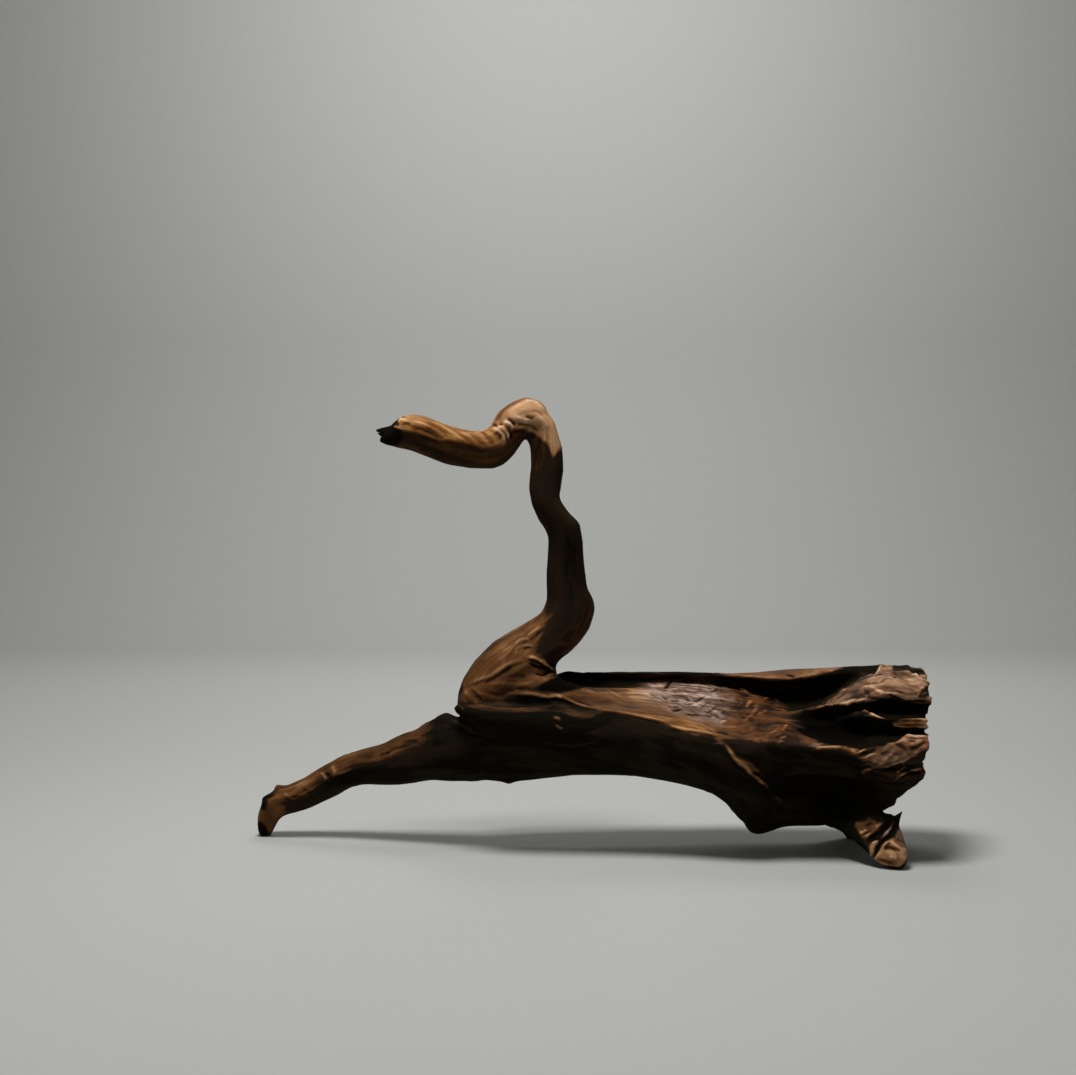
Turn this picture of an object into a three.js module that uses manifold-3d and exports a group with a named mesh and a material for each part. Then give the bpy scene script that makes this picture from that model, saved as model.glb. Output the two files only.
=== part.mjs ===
// A piece of bogwood: a hollowed root trunk that stands on one long leg and two short root
// stubs, with a branch that leans back, turns, climbs, and folds over into a bent arm.
// Millimetres, +Z up. X runs along the trunk towards its broken end, -Y is the hollow face.
// The origin is on the ground, under the middle of the piece.
import * as THREE from 'three';
import { mergeVertices } from 'three/addons/utils/BufferGeometryUtils.js';
import Module from 'manifold-3d';

const forkGap = 0.3; // between two pieces that grew together, at the fork that parts them
const trunkPointsPerRail = 3; // skin points round the trunk, from one rail to the next
const trunkRingsPerStation = 4; // skin rings along the trunk, from one station to the next
const limbSides = 18;
const fluteDepth = 0.05; // of a limb's half width
const fluteTurns = 0.7; // turns of the grain round a limb, from end to end

const wasm = await Module();
wasm.setup();

// The trunk is a skin over closed sections. Each has twenty-one [y, z] points, one on each rail
// that runs along the trunk, in this order: rim top, rim lip, hollow, floor back, upper ridge,
// groove, second ridge, groove, front rim, third ridge, groove, fourth ridge, cavity, cavity
// rim, keel front, keel, under back, back low, back middle, back high, rim back. Ridges and
// grooves only part near the broken end. A slanted station leans in x with y, and a point with
// a third number reaches that much further along x.
const trunkStations = [
  { x: -84, slant: 0, points: [
    [26, 74], [23, 75.5], [20, 76], [16, 76], [12.5, 75], [10, 72.5], [8, 70],
    [6.5, 67.5], [5.5, 65], [5.5, 62], [5.5, 59], [6.5, 56], [8, 52], [10.5, 49],
    [15, 46.5], [20, 45.5], [26, 46.5], [31, 51], [34, 59], [33, 67], [29, 72] ] },
  { x: -53, slant: 0, points: [
    [33, 91], [28, 93], [22, 94], [16, 94], [10, 93], [5, 91], [0, 88.5],
    [-3, 85.5], [-6, 82], [-8, 78], [-9, 73], [-8, 67], [-6, 60], [-2, 52],
    [5, 44], [14, 40], [25, 41], [36, 48], [43, 61], [42, 76], [38, 86] ] },
  { x: -4, slant: 0.02, points: [
    [37, 105], [32, 104.5], [36, 101], [29, 97.5], [20, 96], [10, 94.5], [1, 93],
    [-7, 91], [-13, 89], [-17, 84], [-19, 78], [-20, 71], [-18, 63], [-13, 55],
    [-4, 48.5], [8, 45.5], [22, 46.5], [36, 53], [46, 66], [49, 84], [44, 100] ] },
  { x: 44, slant: 0.04, points: [
    [40, 105.5], [34, 105], [40, 100.5], [34, 97.5], [22, 95.5], [9, 92.5], [-4, 89.5],
    [-14, 86], [-23, 82], [-26, 77], [-28, 71], [-27, 64], [-24, 57], [-18, 51],
    [-7, 46], [6, 43.5], [22, 45], [38, 51], [51, 66], [51, 85], [46, 100] ] },
  { x: 78, slant: 0.06, points: [
    [42, 105], [31, 104], [40, 99], [31, 96.5], [19, 93], [6, 89], [-8, 84.5],
    [-20, 80], [-31, 74.5], [-35, 69.5], [-37, 64], [-36, 57], [-33, 50], [-26, 43.5],
    [-13, 37], [5, 33.5], [22, 34], [39, 43], [51, 60], [54, 82], [48, 99] ] },
  { x: 95, slant: 0.08, points: [
    [42, 105], [28, 103.5], [38, 96], [27, 94], [15, 90.5], [2.5, 86.5], [-10, 82.5],
    [-22, 78], [-34, 72.5], [-38, 67], [-38, 60], [-36, 52], [-33, 44], [-29, 35],
    [-17, 24], [4, 17], [22, 20], [39, 33], [50, 55], [52, 80], [48, 99] ] },
  { x: 105, slant: 0.09, points: [
    [43, 106], [25, 103], [37, 94], [22, 91], [11, 88], [-1, 84.5], [-12, 81],
    [-24, 76.5], [-36, 71], [-37, 66], [-34, 59], [-30, 51], [-27, 43], [-28, 33],
    [-17, 17, -3], [5, 10, -4.5], [22, 13.5, -3], [39, 28], [52, 54], [53, 80], [49, 100] ] },
  { x: 120, slant: 0.1, points: [
    [43, 107], [20, 103], [33, 91], [15, 86], [5, 84.5], [-5, 81.5], [-15, 78.5],
    [-26, 74.5], [-37, 69.5], [-37, 65], [-31, 58], [-23, 51], [-9, 43], [-14, 31],
    [-13, 21], [6, 14], [22, 16], [38, 29], [50, 54], [54, 80], [49, 101] ] },
  { x: 144, slant: 0.13, points: [
    [42, 108], [19, 105.5], [30, 94], [10, 87], [-12, 90.5], [-3, 84], [-8, 80],
    [-12, 75], [-38, 68.5], [-39, 64], [-30, 57], [-22, 51], [-5, 44], [-7, 31],
    [-9, 21], [7, 14.5], [24, 15], [39, 27], [51, 53], [53, 80], [48, 102] ] },
  { x: 166, slant: 0.2, points: [
    [38, 109.5], [24, 108.5], [22, 104], [8, 103], [-27, 93.5], [-15, 89], [-32, 86.5],
    [-20, 78], [-36, 70], [-43, 62], [-35, 56.5], [-37, 52], [-17, 45], [-15, 34],
    [-14, 25], [7, 19], [26, 18], [40, 28], [49, 53], [51, 80], [46, 102] ] },
  { x: 184, slant: 0.27, points: [
    [32, 110.5], [14, 111], [2, 109.5], [-10, 106.5], [-32, 98.5], [-19, 91], [-39, 85],
    [-26, 79], [-40, 74], [-46, 62], [-35, 57], [-42, 53], [-33, 45], [-24, 37],
    [-14, 31], [4, 28], [22, 28], [37, 36], [46, 56], [46, 81], [41, 101] ] },
  { x: 202, slant: 0.3, points: [
    [28, 108.5, -1], [14, 109.5, 2.5], [2, 107, 3.5], [-9, 103.5, 4.5], [-29, 96.5, 6], [-20, 91, 2],
    [-36, 84, 5], [-26, 79, 0], [-37, 73, 5.5], [-42, 62, 4], [-34, 57.5, 0], [-38, 53, 5],
    [-30, 47, 1.5], [-22, 43, -3], [-12, 39, -8], [4, 36, -18], [20, 36, -20], [33, 42, -12],
    [40, 58, -4], [40, 80, 0], [35, 98, -1] ] },
];

// Limbs. Each station is [x, z of one edge, x, z of the other edge, middle y, half depth], where
// the edges are the ones seen from the hollow face.
const branchStations = [
  [-73, 74, -16, 74, 12, 18], [-80, 84, -15, 93, 12, 20], [-80, 94, -18, 108, 12, 21],
  [-77, 104, -19, 112, 12, 20.5], [-70, 115, -16, 116, 12, 20], [-58, 127, -9, 121, 13, 18.5],
  [-47, 133.5, -3.3, 127, 14, 17], [-34, 141, 2.2, 135, 14, 15.5], [-28, 145, 5.5, 147, 14, 14.5],
  [-24.7, 152, 4, 154, 14, 13.5], [-24.8, 161, 0.4, 160, 13, 12.5], [-25, 170, -1, 171, 12, 11.5],
  [-24.3, 181, -2, 180, 11, 11], [-23.8, 191, -2.5, 190, 9, 11], [-26.3, 197, -4.3, 200, 8, 11],
  [-29.6, 201, -11.3, 207, 7, 11], [-34, 211, -16.8, 215, 6, 10.5], [-36, 221, -15.5, 223, 7, 10],
  [-34.5, 235, -14, 233, 8, 10], [-35, 246, -14.5, 246, 9, 10.5], [-36.5, 252, -19.5, 262, 9, 11],
  [-37.5, 251, -27, 273, 8, 11.5], [-38.5, 250, -36.5, 276, 7, 12], [-41, 246.5, -47.3, 273.6, 5, 12],
  [-45, 240.5, -55.2, 266, 3, 11.5], [-50.5, 235, -59, 258.5, 1, 11], [-57, 232.3, -64, 255.5, -1, 11],
  [-71, 232.5, -74, 256, -4, 11], [-86, 235, -88.5, 260.5, -7, 11.5], [-96.5, 239.2, -98.5, 264.8, -10, 11.5],
  [-107, 243.3, -107.5, 265.3, -12, 11], [-115, 244.6, -114.5, 262, -13, 9], [-120.5, 247, -119, 256, -14, 5],
];
const legStations = [
  [-207.5, -4, -201, -4, 49, 4], [-210, 4, -200, 2.5, 49, 5.5], [-210, 13, -197, 8, 49, 7.5],
  [-207.5, 20, -194.5, 11.5, 48.5, 8.5], [-205, 25, -189.5, 13.8, 48, 9.5], [-199, 29.4, -184, 15, 48, 10],
  [-190, 32.8, -176, 17.5, 47, 10], [-179, 38, -168, 21.5, 46, 10.5], [-168, 45.2, -157.5, 26.5, 44, 10.5],
  [-154.5, 52.8, -149, 32, 41.5, 11.5], [-142, 57, -140, 34.5, 39, 12.5], [-128, 61, -127, 35, 36, 13.5],
  [-115, 67.5, -117, 35.5, 33, 15], [-107, 70, -107, 37, 31, 16], [-98, 76, -98, 39, 28, 17.5],
  [-88, 81, -85, 38.5, 25, 19], [-77, 77, -68.5, 39, 22, 20], [-65, 68, -52, 42, 20, 17],
];
const lobeStations = [
  [-80.5, 86.5, -77.5, 82, 3, 5], [-76.5, 88.5, -71, 79, -1, 8], [-66, 89.5, -63, 74, -6, 10],
  [-50, 89.5, -48, 71, -10, 10], [-30, 88.5, -30, 68.5, -12, 10], [-14, 87.5, -14, 66.5, -13, 9.5],
  [2, 86, 2, 65, -14, 9], [22, 85, 22, 66, -16, 8], [42, 83, 42, 70, -18, 6],
];
const flareStations = [
  [-48, 118, -48, 78, 6, 14], [-30, 111, -30, 78, 5, 15], [-14, 104, -14, 82, 4, 14],
  [4, 97.5, 4, 84, 2, 12], [26, 91, 26, 84, 0, 8],
];
const frontFootStations = [
  [135, 20, 163, 45, -4, 12], [142, 18, 170, 36, -15, 12], [148, 18, 175, 29, -24, 11.5],
  [153.5, 14, 178.5, 25, -32, 11], [159, 9.5, 182, 19, -38, 11], [165, 4.5, 183.5, 13, -43, 10.5],
  [171, 1, 184, 6, -44, 8.5], [174, -3, 182, -1, -44, 6.5],
];
const backFootStations = [
  [128, 16, 150, 40, 22, 14], [142, 13, 168, 38, 28, 14], [152, 9, 178, 32, 34, 13],
  [159, 6, 184, 22, 38, 11], [164, 3, 184, 10, 40, 9.5], [167, -4, 182, -3, 41, 8],
];
// Small forms, as limbs of a few stations: the spur above the leg's heel, a nub under the trunk,
// the splinters of the arm's broken tip, and the one left standing on the front foot.
const smallForms = {
  heelSpur: [
    [-201, 26, -189, 26, 47, 5], [-199, 29.5, -191, 29.5, 47, 4], [-197, 32.5, -193, 32.5, 47, 2],
  ],
  underNub: [
    [-56, 48, -38, 48, 12, 8], [-52, 41, -45, 41, 12, 4], [-49, 38, -46.5, 38.5, 12, 1.5],
  ],
  armSplinterLow: [
    [-114, 246.5, -114, 257, -15, 4], [-121, 249, -121, 255, -16, 2.5], [-127, 252.5, -126.5, 254, -17, 1],
  ],
  armSplinterHigh: [
    [-108, 252, -108, 261, -9, 4], [-114, 254, -114, 259, -9, 2.5], [-118.5, 257, -118, 258.5, -9, 1],
  ],
  footSplinter: [
    [169, 16, 184, 14, -38, 4], [175, 26, 182, 21, -37, 3], [180, 31, 182, 30, -37, 1],
  ],
};

// The trunk's back is closed wood: long swells run along it, and a few burls stand out of it.
// Each burl is [x, z, radius, height].
const backRails = [14.5, 21];
const backSwells = [
  { height: 1.3, perRail: 2.3, perMm: 0.018 },
  { height: 0.8, perRail: 5.1, perMm: -0.04 },
];
const burls = [[22, 74, 13, 3.5], [96, 66, 15, 3], [150, 84, 12, 3.5], [-38, 60, 10, 2.5]];

const depthAxis = new THREE.Vector3(0, 1, 0);

function middleOf(points) {
  const sum = points.reduce((total, p) => total.add(p), new THREE.Vector3());
  return sum.divideScalar(points.length);
}

// A smooth line that takes in each list of numbers three at a time.
function smoothLine(rows, closed = false) {
  const points = rows.map((row) => new THREE.Vector3(...row));
  return new THREE.CatmullRomCurve3(points, closed, 'centripetal');
}

// Closes a stack of rings, each a loop of as many points, into one skin with a fan at each end.
function skin(rings, startPoint, endPoint) {
  const sides = rings[0].length;
  const positions = [startPoint, ...rings.flat(), endPoint].flatMap((p) => [p.x, p.y, p.z]);
  const endIndex = 1 + rings.length * sides;
  const faces = [];
  for (let side = 0; side < sides; side++) {
    const next = (side + 1) % sides;
    faces.push(0, 1 + next, 1 + side);
    for (let ring = 0; ring < rings.length - 1; ring++) {
      const here = 1 + ring * sides;
      const after = here + sides;
      faces.push(here + side, here + next, after + side, here + next, after + next, after + side);
    }
    const lastRing = endIndex - sides;
    faces.push(endIndex, lastRing + side, lastRing + next);
  }
  const geometry = new THREE.BufferGeometry();
  geometry.setAttribute('position', new THREE.Float32BufferAttribute(positions, 3));
  geometry.setIndex(faces);
  return geometry;
}

// A limb's section is an oval from edge to edge, with shallow flutes that wind slowly round it
// as the grain of a root does.
function limb(stations, sides) {
  const rings = stations.map(([x1, z1, x2, z2, y, halfDepth], station) => {
    const centre = new THREE.Vector3((x1 + x2) / 2, y, (z1 + z2) / 2);
    const half = new THREE.Vector3((x2 - x1) / 2, 0, (z2 - z1) / 2);
    const wind = 2 * Math.PI * fluteTurns * (station / stations.length);
    return Array.from({ length: sides }, (_, side) => {
      const angle = (side / sides) * 2 * Math.PI;
      const flute = Math.cos(3 * angle + wind) + 0.6 * Math.cos(5 * angle - 2 * wind);
      const swell = 1 + fluteDepth * flute * Math.sin(angle) ** 2;
      return centre.clone()
        .addScaledVector(half, swell * Math.cos(angle))
        .addScaledVector(depthAxis, swell * halfDepth * Math.sin(angle));
    });
  });
  const centres = rings.map(middleOf);
  const beyond = (from, to) => to.clone().lerp(from, -0.3);
  const last = centres.length - 1;
  return skin(rings, beyond(centres[1], centres[0]), beyond(centres[last - 1], centres[last]));
}

// How far a point of the trunk's back stands out of the plain skin.
function backRelief({ x, z }, rail) {
  const [from, to] = backRails;
  if (rail < from) return 0;
  const fade = Math.sin((Math.PI * (rail - from)) / (to - from)) ** 2;
  const swell = backSwells.reduce(
    (sum, { height, perRail, perMm }) => sum + height * Math.cos(perRail * rail + perMm * x), 0);
  const burl = burls.reduce((sum, [bx, bz, radius, height]) => {
    const away = ((x - bx) ** 2 + (z - bz) ** 2) / radius ** 2;
    return sum + height * Math.exp(-away);
  }, 0);
  return fade * (swell + burl);
}

// The trunk's skin: every rail runs smoothly through the stations, and each ring is a smooth
// loop through the rails. The broken end is sunk in towards the rotted heart.
function trunkSkin() {
  const rails = trunkStations[0].points.map((_, rail) => smoothLine(
    trunkStations.map(({ x, slant, points }) => {
      const [y, z, reach = 0] = points[rail];
      return [x + slant * y + reach, y, z];
    })));
  const ringCount = (trunkStations.length - 1) * trunkRingsPerStation;
  const rings = [];
  for (let ring = 0; ring <= ringCount; ring++) {
    const loop = smoothLine(rails.map((rail) => rail.getPoint(ring / ringCount).toArray()), true);
    const plain = loop.getPoints(rails.length * trunkPointsPerRail).slice(0, -1);
    const middle = middleOf(plain);
    rings.push(plain.map((p, n) => {
      const outward = p.clone().sub(middle).setX(0).normalize();
      return p.clone().addScaledVector(outward, backRelief(p, n / trunkPointsPerRail));
    }));
  }
  const heart = middleOf(rings[ringCount]);
  const sink = (share, depth) => rings[ringCount]
    .map((p) => p.clone().lerp(heart, share).add(new THREE.Vector3(-depth, 0, 0)));
  const closing = [sink(0.1, -2.5), sink(0.45, 2)];
  return skin([...rings, ...closing], middleOf(rings[0]), heart.clone().setX(heart.x - 8));
}

function solid(geometry) {
  const bare = new THREE.BufferGeometry();
  bare.setAttribute('position', geometry.getAttribute('position'));
  bare.setIndex(geometry.index);
  const merged = mergeVertices(bare, 1e-4);
  const vertProperties = new Float32Array(merged.getAttribute('position').array);
  const triVerts = new Uint32Array(merged.index.array);
  const made = new wasm.Manifold(new wasm.Mesh({ numProp: 3, vertProperties, triVerts }));
  if (made.volume() > 0) return made;
  return new wasm.Manifold(new wasm.Mesh({ numProp: 3, vertProperties, triVerts: triVerts.reverse() }));
}

// The part of a solid on the side of a fork's plane that its normal points to, or on the other
// side, kept half a gap off the plane.
function above({ normal, point }, whole) {
  const n = new THREE.Vector3(...normal).normalize();
  return whole.trimByPlane(n.toArray(), n.dot(new THREE.Vector3(...point)) + forkGap / 2);
}

function below({ normal, point }, whole) {
  return above({ normal: normal.map((n) => -n), point }, whole);
}

function part(name, body, material) {
  const made = body.getMesh();
  const positions = [];
  for (let i = 0; i < made.numVert; i++) {
    positions.push(...made.vertProperties.subarray(i * made.numProp, i * made.numProp + 3));
  }
  const geometry = new THREE.BufferGeometry();
  geometry.setAttribute('position', new THREE.Float32BufferAttribute(positions, 3));
  geometry.setIndex(new THREE.BufferAttribute(made.triVerts, 1));
  geometry.computeVertexNormals();
  const mesh = new THREE.Mesh(geometry, material);
  mesh.name = name;
  return mesh;
}

const darkWood = new THREE.MeshStandardMaterial({ color: 0x5a3620, roughness: 0.5, metalness: 0 });
const warmWood = new THREE.MeshStandardMaterial({ color: 0x7a4a2a, roughness: 0.5, metalness: 0 });

// Forks: the planes that part each limb from the trunk. Each normal points out along the limb.
const forks = {
  branch: { point: [-30, 0, 106.7], normal: [-0.355, 0, 1] },
  leg: { point: [-90, 25, 60], normal: [-1, 0.2, -0.05] },
  foot: { point: [157, -24, 22], normal: [0.2, -0.5, -0.84] },
};

const grown = [
  ...[branchStations, legStations, lobeStations, flareStations, frontFootStations, backFootStations]
    .map((stations) => limb(stations, limbSides)),
  ...Object.values(smallForms).map((stations) => limb(stations, 8)),
].map(solid).reduce((whole, form) => whole.add(form), solid(trunkSkin()));
const standing = grown.trimByPlane([0, 0, 1], 0);

const stem = below(forks.branch, standing);
const rooted = below(forks.leg, stem);

const pieces = {
  trunk: below(forks.foot, rooted),
  upright_branch: above(forks.branch, standing),
  leg: above(forks.leg, stem),
  front_foot: above(forks.foot, rooted),
};

const { min, max } = standing.boundingBox();
const toMiddle = [-(min[0] + max[0]) / 2, -(min[1] + max[1]) / 2, 0];

const bogwood = new THREE.Group();
bogwood.name = 'bogwood';
for (const [name, body] of Object.entries(pieces)) {
  bogwood.add(part(name, body.translate(toMiddle), name === 'trunk' ? darkWood : warmWood));
}

export default bogwood;
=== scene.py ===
import math
import bmesh
import bpy
import numpy as np
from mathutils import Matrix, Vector, noise
from mathutils.bvhtree import BVHTree


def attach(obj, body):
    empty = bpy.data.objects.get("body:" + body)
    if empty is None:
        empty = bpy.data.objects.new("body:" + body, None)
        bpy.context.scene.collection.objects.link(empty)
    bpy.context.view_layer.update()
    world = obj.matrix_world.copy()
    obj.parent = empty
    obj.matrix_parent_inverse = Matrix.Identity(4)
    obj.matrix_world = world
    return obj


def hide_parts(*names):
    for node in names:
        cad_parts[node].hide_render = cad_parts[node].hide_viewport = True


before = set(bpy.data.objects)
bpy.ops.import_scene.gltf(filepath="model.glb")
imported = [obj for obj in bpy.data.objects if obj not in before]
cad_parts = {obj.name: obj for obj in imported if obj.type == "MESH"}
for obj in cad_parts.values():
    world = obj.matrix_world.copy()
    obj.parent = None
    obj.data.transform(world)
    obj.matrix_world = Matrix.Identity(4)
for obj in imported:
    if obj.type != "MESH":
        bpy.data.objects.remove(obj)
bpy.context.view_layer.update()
scene = bpy.context.scene
metresPerMm = 0.001

# The whole piece is one grown skin. It is made once, in millimetres, and parted at the forks
# only at the end, so that grain, wear and light run on across them.


def smoothStep(low, high, value):
    t = np.clip((value - low) / (high - low), 0.0, 1.0)
    return t * t * (3.0 - 2.0 * t)


def unit(vectors):
    return vectors / np.maximum(np.linalg.norm(vectors, axis=-1, keepdims=True), 1e-9)


def toLinear(hexColour):
    channels = [int(hexColour[i:i + 2], 16) / 255 for i in (1, 3, 5)]
    return tuple(c / 12.92 if c <= 0.04045 else ((c + 0.055) / 1.055) ** 2.4 for c in channels) + (1.0,)


def addNode(tree, kind, settings=None, links=None):
    node = tree.nodes.new(kind)
    for name, value in (settings or {}).items():
        setattr(node, name, value)
    for socket, source in (links or {}).items():
        if isinstance(source, bpy.types.NodeSocket):
            tree.links.new(source, node.inputs[socket])
        else:
            node.inputs[socket].default_value = source
    return node


view = {
    "place": (-32.5, -914.45, 191.0),  # mm; the camera is level and looks along +Y
    "focal": 1500.0,  # pixels, of a picture 1076 wide
    "centre": (538.0, 537.0),
    "width": 1076.0,
    "sensor": 36.0,
    "leastFacing": 0.05,  # cosine; skin more slantwise than this doesn't count as seen
    "nearMiss": 3.0,  # mm between the place aimed at and the skin that the sight line meets
}


def seenAt(points):
    # where places in mm fall in the picture, in pixels across and down
    away = points - np.array(view["place"])
    across = view["centre"][0] + view["focal"] * away[:, 0] / away[:, 1]
    down = view["centre"][1] - view["focal"] * away[:, 2] / away[:, 1]
    return np.stack([across, down], axis=1)


def sightLine(across, down):
    x = (across - view["centre"][0]) / view["focal"]
    z = (view["centre"][1] - down) / view["focal"]
    return Vector((x, 1.0, z)).normalized()


cameraData = bpy.data.cameras.new("camera")
cameraData.sensor_width = view["sensor"]
cameraData.lens = view["focal"] * view["sensor"] / view["width"]
camera = bpy.data.objects.new("camera", cameraData)
camera.location = Vector(view["place"]) * metresPerMm
camera.rotation_euler = (math.radians(90), 0, 0)
scene.collection.objects.link(camera)
scene.camera = camera


skin = {
    "voxel": 1.7,  # mm, halved again where the wood is finely worked
    "halfGap": 0.15,  # mm, from a fork's plane to the solids on either side of it
    "gapSlack": 0.05,  # mm either way
    "weld": 2e-6,  # m between corners that are one
    "overlap": 1.0,  # mm that the solids are let into each other before they are fused
    "smoothing": 1.6,  # mm, reach of the smoothing that takes off the facets
    "broad": 7.0,  # mm, reach of the smoothing that wear is judged against
    "limbMargin": 4.0,  # mm past a fork's plane where the fine mesh of the limbs begins
    "legTop": 100.0,  # mm over the ground; the leg's plane also passes over the trunk
    "lastRounds": 3,  # of smoothing, once the mesh is halved
    # the finely worked part of the trunk, as an outline in the picture
    "fine": [(440, 700), (470, 650), (560, 650), (700, 655), (940, 640), (945, 800), (900, 812), (760, 800),
             (735, 765), (700, 748), (600, 752), (540, 752), (470, 742)],
}
# The planes that part the limbs from the trunk; a limb lies on the side that the normal points to.
forks = {
    "upright_branch": {"point": (-32.5, -2.45, 106.7), "normal": (-0.355, 0.0, 1.0), "reach": 60.0},
    "leg": {"point": (-92.5, 22.55, 60.0), "normal": (-1.0, 0.2, -0.05), "reach": 60.0},
    "front_foot": {"point": (154.5, -26.45, 22.0), "normal": (0.2, -0.5, -0.84), "reach": 45.0},
}


def heightOver(fork, places):
    normal = unit(np.array(fork["normal"]))
    return (places - np.array(fork["point"])) @ normal


def fusedSkin():
    shell = bmesh.new()
    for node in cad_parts.values():
        shell.from_mesh(node.data)
    bmesh.ops.remove_doubles(shell, verts=shell.verts, dist=skin["weld"])
    for fork in forks.values():
        normal = Vector(fork["normal"]).normalized()
        point = Vector(fork["point"])
        for vert in shell.verts:
            place = vert.co / metresPerMm
            height = (place - point).dot(normal)
            onPlane = abs(abs(height) - skin["halfGap"]) < skin["gapSlack"]
            if onPlane and (place - point).length < fork["reach"]:
                vert.co -= normal * math.copysign(skin["overlap"] * metresPerMm, height)
    mesh = bpy.data.meshes.new("fused")
    shell.to_mesh(mesh)
    shell.free()
    source = bpy.data.objects.new("fused", mesh)
    scene.collection.objects.link(source)
    remesh = source.modifiers.new("voxels", "REMESH")
    remesh.mode = "VOXEL"
    remesh.voxel_size = skin["voxel"] * metresPerMm
    made = bpy.data.meshes.new_from_object(source.evaluated_get(bpy.context.evaluated_depsgraph_get()))
    bpy.data.objects.remove(source)
    return made


class Surface:
    # a mesh with its points and links as arrays, in millimetres

    def __init__(self, mesh):
        self.mesh = mesh
        self.points = self.column(mesh.vertices, "co", 3) / metresPerMm
        self.edges = self.column(mesh.edges, "vertices", 2, np.int32).astype(np.int64)
        self.faces = [tuple(face.vertices) for face in mesh.polygons]
        self.valence = np.bincount(self.edges.ravel(), minlength=len(self.points)).astype(float)

    def column(self, items, name, width, kind=np.float32):
        values = np.empty(len(items) * width, kind)
        items.foreach_get(name, values)
        return values.reshape(-1, width)

    def write(self, places):
        self.points = places
        self.mesh.vertices.foreach_set("co", (places * metresPerMm).astype(np.float32).ravel())
        self.mesh.update()

    def normals(self):
        return self.column(self.mesh.vertices, "normal", 3).astype(float)

    def neighbourMean(self, values):
        flat = values.reshape(len(values), -1)
        total = np.zeros_like(flat, dtype=float)
        for column in range(flat.shape[1]):
            for here, there in ((0, 1), (1, 0)):
                total[:, column] += np.bincount(
                    self.edges[:, here], weights=flat[self.edges[:, there], column], minlength=len(flat))
        return (total / self.valence[:, None]).reshape(values.shape)

    def smoothed(self, values, rounds):
        for _ in range(rounds):
            values = 0.5 * values + 0.5 * self.neighbourMean(values)
        return values

    def tree(self):
        return BVHTree.FromPolygons(self.points.tolist(), self.faces)


def roundsFor(reach, spacing):
    # each round of half-way averaging spreads by a quarter of the spacing squared
    return max(1, round(reach ** 2 / (0.25 * spacing ** 2)))


def insideOutline(places, outline, softness, fray=0.0):
    # 1 well inside the outline, 0 well outside, with a soft edge of that many pixels that may be frayed
    corners = np.array(outline, float)
    following = np.roll(corners, -1, axis=0)
    inside = np.zeros(len(places), bool)
    nearest = np.full(len(places), 1e9)
    for (x0, y0), (x1, y1) in zip(corners, following):
        crosses = (y0 > places[:, 1]) != (y1 > places[:, 1])
        if y0 != y1:
            inside ^= crosses & (places[:, 0] < (x1 - x0) * (places[:, 1] - y0) / (y1 - y0) + x0)
        side = np.array([x1 - x0, y1 - y0])
        share = np.clip(((places - (x0, y0)) @ side) / (side @ side), 0, 1)
        nearest = np.minimum(nearest, np.linalg.norm(places - (x0, y0) - share[:, None] * side, axis=1))
    return smoothStep(-softness, softness, np.where(inside, nearest, -nearest) + fray * softness)


def giveAttribute(mesh, name, values):
    kind = "FLOAT" if values.ndim == 1 else "FLOAT_VECTOR"
    layer = mesh.attributes.new(name, kind, "POINT")
    layer.data.foreach_set("value" if values.ndim == 1 else "vector", values.astype(np.float32).ravel())


def takeAttribute(mesh, name):
    layer = mesh.attributes[name]
    width = 1 if layer.data_type == "FLOAT" else 3
    values = np.empty(len(layer.data) * width, np.float32)
    layer.data.foreach_get("value" if width == 1 else "vector", values)
    mesh.attributes.remove(layer)
    return (values if width == 1 else values.reshape(-1, 3)).astype(float)


def clearlySeen(tree, places, outward):
    # whether the camera has a free line to each place, and not too slantwise
    eye = Vector(view["place"])
    facing = (unit(np.array(view["place"]) - places) * outward).sum(1)
    clear = np.zeros(len(places), bool)
    for i in np.nonzero(facing > view["leastFacing"])[0]:
        target = Vector(places[i])
        hit = tree.ray_cast(eye, (target - eye).normalized())[0]
        clear[i] = hit is not None and (hit - target).length < view["nearMiss"]
    return clear


def refined(coarse):
    # halves the mesh on the limbs and on the finely worked part of the trunk
    centres = np.array([np.mean(coarse.points[list(face)], axis=0) for face in coarse.faces])
    outward = coarse.column(coarse.mesh.polygons, "normal", 3)
    onLimb = heightOver(forks["upright_branch"], centres) > -skin["limbMargin"]
    onLimb |= heightOver(forks["front_foot"], centres) > -skin["limbMargin"]
    onLimb |= (heightOver(forks["leg"], centres) > -skin["limbMargin"]) & (centres[:, 2] < skin["legTop"])
    worked = insideOutline(seenAt(centres), skin["fine"], 0.1) > 0.5
    worked &= clearlySeen(coarse.tree(), centres, outward)
    shape = bmesh.new()
    shape.from_mesh(coarse.mesh)
    shape.faces.ensure_lookup_table()
    chosen = {edge for i in np.nonzero(onLimb | worked)[0] for edge in shape.faces[i].edges}
    bmesh.ops.subdivide_edges(shape, edges=list(chosen), cuts=1, use_grid_fill=True)
    mesh = bpy.data.meshes.new("wood")
    shape.to_mesh(mesh)
    shape.free()
    return mesh


coarse = Surface(fusedSkin())
coarse.write(coarse.smoothed(coarse.points, roundsFor(skin["smoothing"], skin["voxel"])))
broadRounds = roundsFor(skin["broad"], skin["voxel"])
giveAttribute(coarse.mesh, "broadPlace", coarse.smoothed(coarse.points, broadRounds))
giveAttribute(coarse.mesh, "broadNormal", coarse.smoothed(coarse.normals(), broadRounds // 4))
wood = Surface(refined(coarse))
broadPlace = takeAttribute(wood.mesh, "broadPlace")
broadNormal = unit(takeAttribute(wood.mesh, "broadNormal"))
wood.write(wood.smoothed(wood.points, skin["lastRounds"]))
print(f"skin: {len(wood.points)} points, {len(wood.faces)} faces")


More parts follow.
